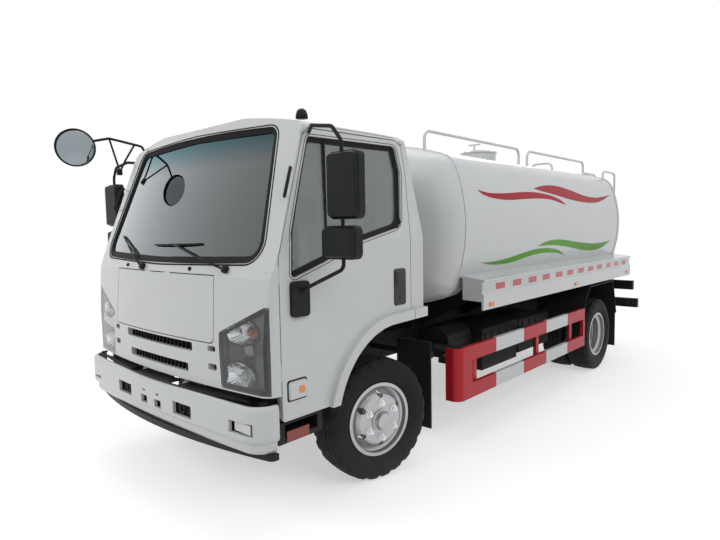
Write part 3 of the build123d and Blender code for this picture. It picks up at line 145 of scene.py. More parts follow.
# Past the truck's shadow the floor goes over into the white of the background
white_floor = floor_tree.nodes.new("ShaderNodeEmission")
spot = floor_tree.nodes.new("ShaderNodeNewGeometry")
reach = new_node(floor_tree, "ShaderNodeVectorMath", {0: spot.outputs["Position"]}, operation="LENGTH")
fade = new_node(floor_tree, "ShaderNodeMapRange",
                {"Value": reach.outputs["Value"], "From Min": 3.6, "From Max": 6.5})
fading = new_node(floor_tree, "ShaderNodeMixShader", {0: fade, 1: lifted, 2: white_floor})
floor_tree.links.new(light_path_mix(floor_tree, fading, floor_bsdf).outputs[0],
                     floor_tree.nodes["Material Output"].inputs[0])
floor.data.materials.append(floor_material)


# Cab body. Pressed steel panels, welded, primed and sprayed white with a thin clear coat.
# The doors and the front lid hang in its openings with a gap of 6 mm all round.
def shader_group(name, inputs, outputs):
    tree = bpy.data.node_groups.new(name, "ShaderNodeTree")
    for label, kind, value in inputs:
        socket = tree.interface.new_socket(label, in_out="INPUT", socket_type=kind)
        socket.default_value = value
    for label, kind in outputs:
        tree.interface.new_socket(label, in_out="OUTPUT", socket_type=kind)
    return tree, tree.nodes.new("NodeGroupInput"), tree.nodes.new("NodeGroupOutput")


# Uneven tone: a slow cloud pattern that makes a colour a little lighter and darker
tone_group, group_in, group_out = shader_group(
    "uneven_tone",
    (("Color", "NodeSocketColor", (1, 1, 1, 1)), ("Scale", "NodeSocketFloat", 3.0),
     ("Amount", "NodeSocketFloat", 0.05)),
    (("Color", "NodeSocketColor"),),
)
place = tone_group.nodes.new("ShaderNodeTexCoord")
cloud = new_node(tone_group, "ShaderNodeTexNoise", {
    "Vector": place.outputs["Object"], "Scale": group_in.outputs["Scale"], "Detail": 4.0})
spread = new_node(tone_group, "ShaderNodeMapRange", {"Value": cloud, "From Min": 0.3, "From Max": 0.7})
negative = math_node(tone_group, "MULTIPLY", group_in.outputs["Amount"], -1.0)
darken = math_node(tone_group, "MULTIPLY_ADD", spread, negative, 1.0)
shade = new_node(tone_group, "ShaderNodeVectorMath", {0: group_in.outputs["Color"], "Scale": darken},
                 operation="SCALE")
tone_group.links.new(shade.outputs[0], group_out.inputs["Color"])

# Grain: a fine bump, such as a moulded plastic's texture or a paint's orange peel
grain_group, group_in, group_out = shader_group(
    "fine_grain",
    (("Scale", "NodeSocketFloat", 300.0), ("Strength", "NodeSocketFloat", 0.1)),
    (("Normal", "NodeSocketVector"),),
)
place = grain_group.nodes.new("ShaderNodeTexCoord")
speck = new_node(grain_group, "ShaderNodeTexNoise", {
    "Vector": place.outputs["Object"], "Scale": group_in.outputs["Scale"], "Detail": 3.0})
bump = new_node(grain_group, "ShaderNodeBump", {
    "Height": speck, "Strength": group_in.outputs["Strength"], "Distance": 0.002})
grain_group.links.new(bump.outputs[0], group_out.inputs["Normal"])

# Road dust: a mask that is strongest near the ground and broken up by noise
dust_group, group_in, group_out = shader_group(
    "road_dust",
    (("Top", "NodeSocketFloat", 1.0), ("Amount", "NodeSocketFloat", 0.2)),
    (("Mask", "NodeSocketFloat"),),
)
spot = dust_group.nodes.new("ShaderNodeNewGeometry")
split = new_node(dust_group, "ShaderNodeSeparateXYZ", {0: spot.outputs["Position"]})
fall = new_node(dust_group, "ShaderNodeMapRange", {
    "Value": split.outputs["Z"], "From Min": 0.0, "From Max": group_in.outputs["Top"],
    "To Min": 1.0, "To Max": 0.0})
cloud = new_node(dust_group, "ShaderNodeTexNoise", {
    "Vector": spot.outputs["Position"], "Scale": 9.0, "Detail": 6.0})
broken = math_node(dust_group, "MULTIPLY", fall, cloud)
result = math_node(dust_group, "MULTIPLY", broken, group_in.outputs["Amount"])
dust_group.links.new(result.outputs[0], group_out.inputs["Mask"])


def use(tree, group, **values):
    """A node that holds a group, with values for its inputs."""
    return new_node(tree, "ShaderNodeGroup", values, node_tree=group)


def surface(name, color, roughness, metallic=0.0, coat=0.0, tone=0.06, tone_scale=2.5,
            grain=0.05, grain_scale=400.0, dust=0.0, dust_top=0.9, gloss=0.5):
    """A material whose colour is uneven, with a grain and some road dust low on the truck."""
    material = bpy.data.materials.new(name)
    material.use_nodes = True
    tree = material.node_tree
    bsdf = tree.nodes["Principled BSDF"]
    bsdf.inputs["Metallic"].default_value = metallic
    bsdf.inputs["Coat Weight"].default_value = coat
    bsdf.inputs["Coat Roughness"].default_value = 0.04
    bsdf.inputs["Specular IOR Level"].default_value = gloss
    tones = use(tree, tone_group, Color=(*color, 1), Scale=tone_scale, Amount=tone)
    grains = use(tree, grain_group, Scale=grain_scale, Strength=grain)
    dirt = use(tree, dust_group, Top=dust_top, Amount=dust)
    dusty = mix_color(tree, dirt, tones, (0.30, 0.27, 0.23, 1))
    rough = new_node(tree, "ShaderNodeMapRange", {"Value": dirt, "To Min": roughness, "To Max": 0.85})
    tree.links.new(dusty, bsdf.inputs["Base Color"])
    tree.links.new(rough.outputs[0], bsdf.inputs["Roughness"])
    tree.links.new(grains.outputs[0], bsdf.inputs["Normal"])
    return material


def dress(material, *names):
    """Gives the named CAD pieces their material."""
    for name in names:
        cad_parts[name].data.materials.clear()
        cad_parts[name].data.materials.append(material)


cab_white = surface("cab_white", (0.64, 0.65, 0.645), 0.30, coat=0.35, tone=0.03, grain=0.02,
    grain_scale=60, dust=0.22, dust_top=1.0)
dress(cab_white, "cab_shell", "door_left", "door_right", "front_lid")

# Rain gutters over the doors and hinge seams. Folded steel strips, spot welded to the roof's edge
# and sprayed with the body, so they share its white.
def bare_mesh(name, points, faces, material, body, smooth=False):
    """A piece from points and faces that rides on a body."""
    mesh = bpy.data.meshes.new(name)
    mesh.from_pydata([tuple(p) for p in points], [], faces)
    work = bmesh.new()
    work.from_mesh(mesh)
    bmesh.ops.recalc_face_normals(work, faces=work.faces)
    for face in work.faces:
        face.smooth = smooth
    work.to_mesh(mesh)
    work.free()
    mesh.materials.append(material)
    piece = new_object(name, mesh)
    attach(piece, body)
    return piece


def net(rows, columns, closed=True):
    """Faces between rows of places; each row may close on itself."""
    faces = []
    for k in range(rows - 1):
        for i in range(columns if closed else columns - 1):
            j = (i + 1) % columns
            faces.append((k * columns + i, k * columns + j, (k + 1) * columns + j, (k + 1) * columns + i))
    return faces


def ring(centre, side, up, radius, steps):
    """Places round a centre, in the plane of two unit directions."""
    turns = [2 * pi * i / steps for i in range(steps)]
    return [centre + (side * cos(a) + up * sin(a)) * radius for a in turns]


class Heap:
    """Collects simple solids that make up one piece."""

    def __init__(self):
        self.points = []
        self.faces = []

    def take(self, points, faces):
        first = len(self.points)
        self.points += [Vector(p) for p in points]
        self.faces += [tuple(first + i for i in f) for f in faces]

    def box(self, low, high):
        """A block with small chamfers between two opposite corners."""
        ends = [Vector([pick(pair) for pair in zip(low, high)]) for pick in (min, max)]
        chamfer = min(0.003, *(0.2 * (ends[1] - ends[0])))
        work = bmesh.new()
        for picks in product((0, 1), repeat=3):
            corner = Vector([ends[pick][axis] for axis, pick in enumerate(picks)])
            for kept in range(3):
                spot = corner + Vector([-chamfer if pick else chamfer for pick in picks])
                spot[kept] = corner[kept]
                work.verts.new(spot)
        bmesh.ops.convex_hull(work, input=work.verts)
        work.verts.ensure_lookup_table()
        work.verts.index_update()
        self.take([v.co for v in work.verts], [[v.index for v in f.verts] for f in work.faces])
        work.free()

    def tube(self, points, steps):
        """A solid between rings of places, closed at both ends."""
        last = len(points) - steps
        caps = [tuple(range(steps)), tuple(last + i for i in reversed(range(steps)))]
        self.take(points, net(len(points) // steps, steps) + caps)

    def plate(self, back, front):
        """A thin plate between two outlines, open where it lies on its neighbour."""
        count = len(back)
        self.take(back + front, net(2, count) + [tuple(count + i for i in range(count))])

    def lathe(self, profile, centre, axis, steps=24):
        """A turned solid from (along, radius) places; both ends close on the axis."""
        axis = Vector(axis).normalized()
        side = axis.orthogonal().normalized()
        up = axis.cross(side)
        points = []
        for along, radius in profile:
            points += ring(Vector(centre) + axis * along, side, up, radius, steps)
        self.tube(points, steps)

    def rod(self, path, radius, steps=10):
        """A round bar along a list of places."""
        path = [Vector(p) for p in path]
        points = []
        side = (path[1] - path[0]).orthogonal().normalized()
        for k, spot in enumerate(path):
            ahead = path[min(k + 1, len(path) - 1)] - path[max(k - 1, 0)]
            ahead.normalize()
            side = (side - ahead * side.dot(ahead)).normalized()
            points += ring(spot, side, ahead.cross(side), radius, steps)
        self.tube(points, steps)

    def piece(self, name, material, body, smooth=False):
        return bare_mesh(name, self.points, self.faces, material, body, smooth)


def tree_of(*names):
    """A surface to aim at, made of the named CAD nodes."""
    points = []
    faces = []
    for name in names:
        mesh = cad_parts[name].data
        first = len(points)
        points += [v.co.copy() for v in mesh.vertices]
        faces += [tuple(first + i for i in p.vertices) for p in mesh.polygons]
    return BVHTree.FromPolygons(points, faces)


def from_ahead(spot):
    """A ray from in front of the truck at a place in X and Z."""
    return Vector((spot.x, -4.5, spot.y)), Vector((0, 1, 0))


def from_side(side):
    """Rays from the truck's left (1) or right (-1), at places along the truck and up."""
    return lambda spot: (at(side * 2, spot.x, spot.y), Vector((-side, 0, 0)))


def on_side(tree, side, along, height, lift=0.0):
    """The place on a surface, seen from the truck's left (1) or right (-1) and lifted off it."""
    hit = tree.ray_cast(at(side * 2, along, height), Vector((-side, 0, 0)))[0]
    return hit + Vector((side * lift, 0, 0))


sides = ((1, "left"), (-1, "right"))
nose = tree_of("cab_shell", "cab_glass", "front_lid", "headlamps", "grille")
flank = {side: tree_of("cab_shell", f"door_{word}", f"window_{word}", "headlamps") for side, word in sides}
gutter_line = ((-0.66, 2.125), (-0.59, 2.172), (-0.3, 2.182), (0.0, 2.184), (0.14, 2.182), (0.21, 2.14))
for side, word in sides:
    gutter = Heap()
    gutter.rod([on_side(flank[side], side, *place, 0.004) for place in gutter_line], 0.006, 8)
    gutter.piece(f"rain_gutter_{word}", cab_white, "cab", smooth=True)

# Grille and the cab's plastic trim. Moulded in black, with a fine texture, and clipped in place.
# The ribs stand behind the slots of the nose.
black_plastic = surface("black_plastic", (0.014, 0.015, 0.017), 0.45, grain=0.12, grain_scale=900,
    dust=0.12, dust_top=0.8, gloss=0.16)
dress(black_plastic, "grille", "front_mirror", "bumper_trim", "cab_steps")

# Windows. Toughened glass, green-grey; the laminated windscreen has a teal shade band at its top.
# The glass lies in rubber gaskets that lap over the edge of each opening.
def clear(name, tint, strength=1.0):
    """Thin glass or lens: tinted see-through, with a mirror of what is around it at a glance."""
    material = bpy.data.materials.new(name)
    material.use_nodes = True
    tree = material.node_tree
    tree.nodes.remove(tree.nodes["Principled BSDF"])
    grains = use(tree, grain_group, Scale=1.2, Strength=0.06)
    tones = use(tree, tone_group, Color=(*tint, 1), Scale=1.0, Amount=0.06)
    see_through = new_node(tree, "ShaderNodeBsdfTransparent", {"Color": tones})
    shine = new_node(tree, "ShaderNodeBsdfGlossy", {"Roughness": 0.02, "Normal": grains})
    edge = tree.nodes.new("ShaderNodeFresnel")
    edge.inputs["IOR"].default_value = 1.5
    scale = math_node(tree, "MULTIPLY", edge, strength)
    mix = new_node(tree, "ShaderNodeMixShader", {0: scale, 1: see_through, 2: shine})
    tree.links.new(mix.outputs[0], tree.nodes["Material Output"].inputs[0])
    return material


side_glass = clear("side_glass", (0.82, 0.86, 0.85), strength=0.7)
dress(side_glass, "window_left", "window_right")
screen_glass = clear("screen_glass", (0.93, 0.96, 0.955), strength=3.0)
screen_tree = screen_glass.node_tree
tint = screen_tree.nodes["Transparent BSDF"].inputs["Color"]
spot = screen_tree.nodes.new("ShaderNodeNewGeometry")
split = new_node(screen_tree, "ShaderNodeSeparateXYZ", {0: spot.outputs["Position"]})
band = new_node(screen_tree, "ShaderNodeMapRange", {
    "Value": split.outputs["Z"], "From Min": 1.98, "From Max": 2.13})
shaded = mix_color(screen_tree, band, tint.links[0].from_socket, (0.10, 0.24, 0.28, 1))
teal = mix_color(screen_tree, band, (0.80, 0.84, 0.86, 1), (0.30, 0.52, 0.58, 1))
screen_tree.links.new(shaded, tint)
screen_tree.links.new(teal, screen_tree.nodes["Glossy BSDF"].inputs["Color"])
dress(screen_glass, "cab_glass")
black_rubber = surface("black_rubber", (0.014, 0.014, 0.015), 0.6, grain=0.2, grain_scale=500, dust=0.12,
    dust_top=0.8, gloss=0.15)


def rounded(corners, radii, steps=6):
    """A closed outline in two coordinates with round corners."""
    outline = []
    count = len(corners)
    for i in range(count):
        here = Vector(corners[i])
        before = (Vector(corners[i - 1]) - here).normalized()
        after = (Vector(corners[(i + 1) % count]) - here).normalized()
        r = radii[i]
        half = before.angle(after) / 2
        reach = r / max(abs(sin(half) / cos(half)), 1e-4)
        centre = here + (before + after).normalized() * (r / sin(half))
        first = here + before * reach - centre
        last = here + after * reach - centre
        a0 = atan2(first.y, first.x)
        sweep = (atan2(last.y, last.x) - a0 + pi) % (2 * pi) - pi
        for k in range(steps + 1):
            a = a0 + sweep * k / steps
            outline.append(centre + Vector((cos(a), sin(a))) * r)
    return outline


def rounded_box(x0, y0, x1, y1, radius):
    """The outline of a rectangle with round corners."""
    return rounded([(x0, y0), (x1, y0), (x1, y1), (x0, y1)], [radius] * 4)


def dense(outline, gap=0.05):
    """The same closed outline with extra places on its long runs."""
    result = []
    for i, spot in enumerate(outline):
        following = outline[(i + 1) % len(outline)]
        count = max(1, int((following - spot).length / gap))
        result += [spot.lerp(following, k / count) for k in range(count)]
    return result


def offset(outline, amount):
    """The closed outline moved outward, for outlines that run either way round."""
    area = sum(a.x * b.y - b.x * a.y for a, b in zip(outline, outline[1:] + outline[:1]))
    sign = 1 if area > 0 else -1
    result = []
    for i, spot in enumerate(outline):
        run = outline[(i + 1) % len(outline)] - outline[i - 1]
        run = run.normalized() if run.length > 1e-9 else Vector((1, 0))
        result.append(spot + Vector((run.y, -run.x)) * amount * sign)
    return result


def band_on(name, outline, widths, lifts, aim, target, material, body):
    """A strip that follows an outline on a surface, with a place and a lift for each of its rows."""
    points = []
    for width, lift in zip(widths, lifts):
        for spot in offset(outline, width):
            origin, direction = aim(spot)
            hit = target.ray_cast(origin, direction)[0]
            if hit is None:
                hit = points[-1] if points else origin
            points.append(hit - direction * lift)
    return bare_mesh(name, points, net(len(widths), len(outline)), material, body, smooth=True)


screen_outline = dense(rounded(
    [(-0.908, 1.442), (0.0, 1.424), (0.908, 1.442), (0.772, 2.176), (0.0, 2.196), (-0.772, 2.176)],
    [0.105, 2.0, 0.105, 0.08, 2.0, 0.08]))
gasket = band_on("windscreen_gasket", screen_outline, (0.016, 0.012, -0.004, -0.03, -0.034),
                 (-0.001, 0.005, 0.007, 0.010, 0.001), from_ahead, nose, black_rubber, "cab")
pane_corners = [(-0.800, 1.352), (-0.790, 1.590), (-0.692, 1.881), (-0.612, 2.108), (0.140, 2.122),
                (0.172, 1.962), (0.130, 1.614), (-0.244, 1.535), (-0.560, 1.426)]
pane_outline = dense(rounded(pane_corners, [0.026, 0.3, 0.5, 0.05, 0.034, 0.034, 0.1, 0.3, 0.3]))
for side, word in sides:
    seal = band_on(f"door_window_seal_{word}", pane_outline, (0.014, 0.011, -0.004, -0.026, -0.03),
                   (-0.001, 0.003, 0.004, 0.004, -0.002), from_side(side), flank[side],
                   black_rubber, f"door_{word}")
    # Upright bar between the fixed corner pane and the sliding pane
    bar = Heap()
    foot = on_side(flank[side], side, -0.52, 1.46)
    head = on_side(flank[side], side, -0.47, 2.09)
    for k in range(6):
        bar.rod([foot.lerp(head, k / 6), foot.lerp(head, (k + 1) / 6)], 0.009, 8)
    bar.piece(f"window_bar_{word}", black_rubber, f"door_{word}")

# Wipers. Two steel arms on splined pivots, painted black, with a rubber blade in a sprung bow.
# The washer's nozzles stand beside them on the cowl.
def on_nose(x, z, lift=0.0):
    """The place on the nose or glass at X and Z, lifted off it along Y."""
    return nose.ray_cast(*from_ahead(Vector((x, z))))[0] + Vector((0, -lift, 0))


wipers = (  # pivot x and z, blade's low and high end, each x and z
    ("wiper_left", (0.662, 1.402), (0.381, 1.537), (-0.131, 1.527)),
    ("wiper_right", (-0.190, 1.392), (-0.306, 1.450), (-0.687, 1.581)),
)
for name, pivot, near, far in wipers:
    wiper = Heap()
    hub = on_nose(*pivot)
    wiper.lathe(((-0.01, 0.021), (0.02, 0.021), (0.026, 0.016)), hub, (0, -1, 0.3), 20)
    near = Vector(near)
    far = Vector(far)
    middle = near.lerp(far, 0.5)
    elbow = Vector(pivot).lerp(middle, 0.42)
    wiper.rod([hub + Vector((0, -0.018, 0.004)), on_nose(*elbow, 0.034), on_nose(*middle, 0.026)], 0.0065, 8)
    shares = [k / 12 for k in range(13)]
    wiper.rod([on_nose(*near.lerp(far, t), 0.010 + 0.010 * sin(pi * t)) for t in shares], 0.0055, 6)
    wiper.rod([on_nose(*near.lerp(far, t), 0.004) for t in shares], 0.0045, 6)
    wiper.piece(name, black_plastic, "cab", smooth=True)
nozzles = Heap()
for x, z in ((-0.430, 1.394), (0.346, 1.397)):
    nozzles.lathe(((-0.004, 0.013), (0.006, 0.012), (0.012, 0.006)), on_nose(x, z), (0, -1, 0.4), 14)
nozzles.piece("washer_nozzles", black_plastic, "cab", smooth=True)

# Headlamps. A clear moulded cover, welded to a grey housing, over two bright reflectors.
# The round upper one holds the turn signal's amber bulb, and a pleated strip runs between them.
lens_clear = clear("lens_clear", (0.93, 0.95, 0.96), strength=1.6)
dress(lens_clear, "headlamps")
bright_metal = surface("bright_metal", (0.78, 0.79, 0.80), 0.14, metallic=1.0, grain=0.02)
lamp_housing = surface("lamp_housing", (0.40, 0.385, 0.35), 0.28, metallic=0.35, grain=0.1, tone=0.3,
    tone_scale=8)
amber_plastic = surface("amber_plastic", (0.85, 0.25, 0.02), 0.18, coat=0.6, grain=0.05)
bulb_glass = surface("bulb_glass", (0.9, 0.9, 0.86), 0.1, coat=1.0)
lamp_inside = tree_of("headlamps")
lamp_bulbs = (  # name, profile as (along, radius), place as (x, z, depth), material
    ("signal_bulb", ((0, 0.016), (0.012, 0.018), (0.024, 0.012), (0.027, 0.004)), (0.835, 1.076, 0.045),
     amber_plastic),
    ("head_bulb", ((0, 0.022), (0.010, 0.024), (0.022, 0.017), (0.026, 0.005)), (0.770, 0.838, 0.050),
     bulb_glass),
)
lamp_edge = ((0.636, 1.062), (0.955, 1.212), (0.972, 1.205), (0.972, 0.782), (0.652, 0.782))


def behind(side, x, z, depth):
    """A place behind the lens at X and Z, the given depth back."""
    hit = lamp_inside.ray_cast(*from_ahead(Vector((side * x, z))))[0] or on_nose(side * x, z)
    return hit + Vector((0, depth, 0))


for side, word in sides:
    # Back of the housing, a sheet that follows the lens
    columns = 15
    rows = 13
    points = []
    for x in [0.655 + 0.30 * k / (columns - 1) for k in range(columns)]:
        top = 1.075 + min((x - 0.63) / 0.33, 1) * 0.135
        points += [behind(side, x, 0.790 + (top - 0.790) * r / (rows - 1), 0.055) for r in range(rows)]
    bare_mesh(f"lamp_housing_{word}", points, net(columns, rows, closed=False), lamp_housing, "cab",
                      smooth=True)
    # Bowls: oval cups with flutes, open to the front
    bowls = Heap()
    for centre_x, centre_z, half_x, half_z, deep in ((0.795, 1.076, 0.118, 0.072, 0.030),
                                                     (0.764, 0.848, 0.126, 0.072, 0.036)):
        steps = 56
        points = []
        for layer, share in enumerate((1.0, 0.97, 0.86, 0.66, 0.40, 0.16)):
            for i in range(steps):
                a = 2 * pi * i / steps
                flute = 0.0012 * (i % 2) * (1 if 1 < layer < 5 else 0)
                points.append(behind(side, centre_x + half_x * share * cos(a),
                                     centre_z + half_z * share * sin(a),
                                     0.014 + flute + deep * (1 - share ** 2)))
        bowls.take(points, net(6, steps) + [tuple(5 * steps + i for i in range(steps))])
    bowls.piece(f"lamp_bowls_{word}", bright_metal, "cab")
    # Pleated strip between the bowls, rising outward
    pleats = Heap()
    for k in range(34):
        x = 0.664 + 0.278 * k / 34
        low = 0.926 + (x - 0.664) * 0.16
        high = 0.990 + (x - 0.664) * 0.14
        corners = ((x, low, 0.026), (x, high, 0.030), (x + 0.0062, high, 0.022), (x + 0.0062, low, 0.018))
        pleats.take([behind(side, *corner) for corner in corners], [(0, 1, 2, 3)])
    pleats.piece(f"lamp_pleats_{word}", bright_metal, "cab")
    for name, profile, place, material in lamp_bulbs:
        bulb = Heap()
        bulb.lathe(profile, behind(side, *place), (0, -1, 0), 16)
        bulb.piece(f"{name}_{word}", material, "cab", smooth=True)
    # Dark edge of the housing, printed on the inside of the cover
    edge = dense([Vector((side * x, z)) for x, z in lamp_edge], 0.03)
    border = band_on(f"lamp_border_{word}", edge, (0.0, -0.018), (-0.006, -0.006), from_ahead,
                     lamp_inside, black_plastic, "cab")

# Door mirrors. Black moulded heads, clamped to a bent steel tube that is bolted to the door.
# The silvered glass faces back; the round one over the right corner shows the bumper's edge.
dress(black_plastic, "mirror_left", "mirror_right")
mirror_glass = surface("mirror_glass", (0.30, 0.34, 0.36), 0.03, metallic=1.0, tone=0.2, grain=0.0)
disc = Heap()
disc.lathe(((-0.004, 0.118), (0.002, 0.118), (0.004, 0.112)), at(-0.908, -1.091, 2.199),
           (0.93, -0.28, -0.2), 40)
disc.piece("round_mirror_glass", mirror_glass, "cab", smooth=True)
for side, word in sides:
    glass = Heap()
    for x, y, z, wide, high in ((1.277, -0.643, 1.822, 0.180, 0.306), (1.245, -0.638, 1.541, 0.194, 0.142)):
        outline = rounded_box(-wide / 2, -high / 2, wide / 2, high / 2, 0.026)
        back = [at(side * x + p.x, y, z + p.y) for p in outline]
        glass.plate(back, [spot + Vector((0, 0.002, 0)) for spot in back])
    glass.piece(f"mirror_glass_{word}", mirror_glass, f"door_{word}")

# Grab handles of the windscreen pillars. A black moulded bar on two feet, screwed to the pillar.
# The driver holds it on the way up the step.
for side, word in sides:
    grab = Heap()
    low = at(side * 0.962, -0.796, 1.780)
    high = at(side * 0.950, -0.741, 1.930)
    lift = Vector((side * 0.020, -0.016, 0))
    grab.rod([low, low + lift, low.lerp(high, 0.5) + lift * 1.2, high + lift, high], 0.009, 10)
    grab.piece(f"grab_handle_{word}", black_plastic, "cab", smooth=True)

# Door handles and locks. A black plate is screwed into a recess behind the flap that is pulled.
# The key's barrel sits below the flap.
gloss_black = surface("gloss_black", (0.012, 0.012, 0.014), 0.2, coat=0.15, grain=0.02, gloss=0.3)
handle_plates = (  # low along, low height, high along, high height, radius, foot, top, slope
    (0.040, 1.116, 0.159, 1.351, 0.018, 0.0, 0.007, 0.004),
    (0.052, 1.235, 0.147, 1.338, 0.014, 0.007, 0.015, 0.006),
)
for side, word in sides:
    handle = Heap()
    for x0, z0, x1, z1, radius, foot, top, slope in handle_plates:
        outline = rounded_box(x0, z0, x1, z1, radius)
        handle.plate([on_side(flank[side], side, *p, foot) for p in outline],
                     [on_side(flank[side], side, *p, top) for p in offset(outline, -slope)])
    handle.lathe(((0.006, 0.011), (0.010, 0.011), (0.011, 0.009)), on_side(flank[side], side, 0.1, 1.165),
                 (side, 0, 0), 20)
    handle.piece(f"door_handle_{word}", gloss_black, f"door_{word}")

# Lamps and reflectors of the cab's sides. A clear and amber signal lamp is set in the corner panel.
# An orange reflector is screwed to the step below it, and a black lamp stands on the roof.
lens_white = surface("lens_white", (0.62, 0.63, 0.62), 0.12, coat=0.8, grain=0.3, grain_scale=120)
orange_reflector = surface("orange_reflector", (0.24, 0.03, 0.009), 0.3, coat=0.2, grain=0.5,
    grain_scale=260)
side_lamps = (  # name, low and high corner as (along, height), thickness, material, slot
    ("side_lamp_frame", (-0.846, 0.718), (-0.708, 0.832), 0.004, black_rubber, "flap_rubber"),
    ("side_lamp", (-0.840, 0.724), (-0.714, 0.826), 0.014, lens_white, "lamp_lens"),
    ("side_signal", (-0.780, 0.750), (-0.730, 0.800), 0.018, amber_plastic, "lamp_lens"),
)
for side, word in sides:
    for name, low, high, lift, material, slot in side_lamps:
        outline = rounded_box(*low, *high, 0.016)
        lamp = Heap()
        lamp.plate([on_side(flank[side], side, *p) for p in outline],
                   [on_side(flank[side], side, *p, lift) for p in offset(outline, -0.007)])
        lamp.piece(f"{name}_{word}", material, f"door_{word}")
    plate = Heap()
    plate.box(at(side * 0.984, -0.846, 0.504), at(side * 0.991, -0.690, 0.562))
    plate.piece(f"step_reflector_{word}", orange_reflector, "cab")
roof_lamp = Heap()
roof_lamp.lathe(((-0.01, 0.036), (0.012, 0.034), (0.034, 0.026), (0.044, 0.012)), at(0.790, -0.508, 2.243),
                (0, 0, 1), 24)
roof_lamp.piece("roof_lamp", black_plastic, "cab", smooth=True)

# Bumper. Pressed sheet steel, sprayed white, with fog lamps and towing eyes in its openings.
# A black sheet closes the openings from behind; its black floor is painted shade where the white bottom
# flange lies in shadow.
bumper_white = surface("bumper_white", (0.64, 0.65, 0.645), 0.32, coat=0.3, tone=0.03, grain=0.03,
    grain_scale=80, dust=0.3, dust_top=0.8)
dress(bumper_white, "front_bumper")
bumper_front = -1.086
bumper_end = -0.915
bumper_columns = (0, 0.046, 0.067, 0.101, 0.122, 0.18, 0.259, 0.35, 0.445, 0.55, 0.66, 0.779, 0.872)
bumper_openings = (  # low and high x on each side, low and high z
    (0.259, 0.445, 0.566, 0.640),
    (0.779, 0.945, 0.577, 0.641),
    (0.046, 0.122, 0.560, 0.608),
    (0.067, 0.101, 0.634, 0.646),
    (0.067, 0.101, 0.530, 0.542),
)
bumper_rings = (  # depth behind the front, height
    (0.028, 0.724), (0.014, 0.726), (0.004, 0.718), (0.0, 0.704), (0.0, 0.646), (0.0, 0.641),
    (0.0, 0.640), (0.0, 0.634), (0.0, 0.608), (0.0, 0.577), (0.0, 0.566), (0.0, 0.560), (0.0, 0.556),
    (0.006, 0.542), (0.020, 0.530), (0.022, 0.490), (0.030, 0.477), (0.046, 0.475),
)


def bumper_line(inset):
    """The bumper's plan, bowed along its front and rounded at its corners, at a depth behind it."""
    corner = 0.14 - inset
    right = [(x, bumper_front + inset + x * x / 22) for x in bumper_columns]
    straight, edge_y = right[-1]
    for degrees in (10, 20, 31.4, 45, 60, 75, 90):
        a = radians(degrees)
        right.append((straight + corner * sin(a), edge_y + corner * (1 - cos(a))))
    right.append((right[-1][0], bumper_end))
    return [(-x, y) for x, y in right[:0:-1]] + right


bumper_points = [at(x, y, height) for inset, height in bumper_rings for x, y in bumper_line(inset)]
bumper_width = len(bumper_line(0.0))
cells = net(len(bumper_rings), bumper_width, closed=False)
open_cells = set()
for cell, corners in enumerate(cells):
    middle = (bumper_points[corners[0]] + bumper_points[corners[2]]) / 2
    if any(x0 < abs(middle.x) < x1 and z0 < middle.z < z1 for x0, x1, z0, z1 in bumper_openings):
        open_cells.add(cell)
pressing = Heap()
pressing.take(bumper_points, [corners for cell, corners in enumerate(cells) if cell not in open_cells])
# Each opening's edge is turned in where the next cell is closed: above, beside, below and before it
for cell in sorted(open_cells):
    for edge, step in enumerate((1 - bumper_width, 1, bumper_width - 1, -1)):
        if cell + step not in open_cells:
            rim = [bumper_points[cells[cell][edge]], bumper_points[cells[cell][(edge + 1) % 4]]]
            pressing.take(rim + [spot + Vector((0, 0.020, 0)) for spot in rim[::-1]], [(0, 1, 2, 3)])
bumper = pressing.piece("bumper_pressing", bumper_white, "chassis")
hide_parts("front_bumper")
backing_and_painted_shade = Heap()
line = [p for p in bumper_line(0.030) if p[1] < -0.93]
backing_and_painted_shade.take([at(x, y, height) for height in (0.500, 0.655) for x, y in line],
             net(2, len(line), closed=False))
# Painted shade: a black tray at the bottom stands in for the white bottom flange, which is turned in under
# the bumper and lies in shadow
backing_and_painted_shade.take([at(x, y, 0.492) for x, y in line], [tuple(range(len(line)))])
backing_and_painted_shade.piece("bumper_backing_and_painted_shade", black_plastic, "chassis")
fog = Heap()
fog_glass = Heap()
for side in (1, -1):
    y = bumper_front + 0.018 + 0.862 ** 2 / 22
    fog.box(at(side * 0.862 - 0.083, y + 0.004, 0.576), at(side * 0.862 + 0.083, y + 0.03, 0.642))
    fog_glass.box(at(side * 0.868 - 0.066, y - 0.004, 0.583), at(side * 0.868 + 0.066, y + 0.008, 0.635))
fog.piece("fog_housings", gloss_black, "chassis")
fog_glass.piece("fog_lenses", lens_white, "chassis")
tow_eyes = Heap()
for side in (1, -1):
    y = bumper_front + 0.020 + 0.352 ** 2 / 22
    turns = [2 * pi * k / 20 for k in range(21)]
    tow_eyes.rod([at(side * 0.33 + 0.024 * cos(a), y, 0.603 + 0.026 * sin(a)) for a in turns], 0.007, 8)
tow_eyes.piece("tow_eyes", black_plastic, "chassis", smooth=True)

# Seats, dashboard and trim. The seats are grey cloth on foam, and the dashboard is moulded grey.
# Both show through the glass.
seat_cloth = surface("seat_cloth", (0.20, 0.21, 0.23), 0.8, tone=0.2, tone_scale=9, grain=0.5,
    grain_scale=260)
dash_grey = surface("dash_grey", (0.13, 0.135, 0.14), 0.55, grain=0.25, grain_scale=700)
dress(seat_cloth, "seats")
dress(dash_grey, "dashboard")

# Water tank. Rolled steel sheet with dished ends, welded and sprayed white.
# A narrow weld runs round it at each end.
tank_white = surface("tank_white", (0.66, 0.67, 0.675), 0.26, coat=0.35, tone=0.03, grain=0.04,
    grain_scale=18, dust=0.12, dust_top=1.4)
dress(tank_white, "water_tank", "manhole_lid", "top_rails", "ladder", "skirts")
tank_side = tree_of("water_tank")
seam_steps = 72
seam_rows = ((-0.006, 0.0), (-0.003, 0.002), (0.003, 0.002), (0.006, 0.0))  # along, lift


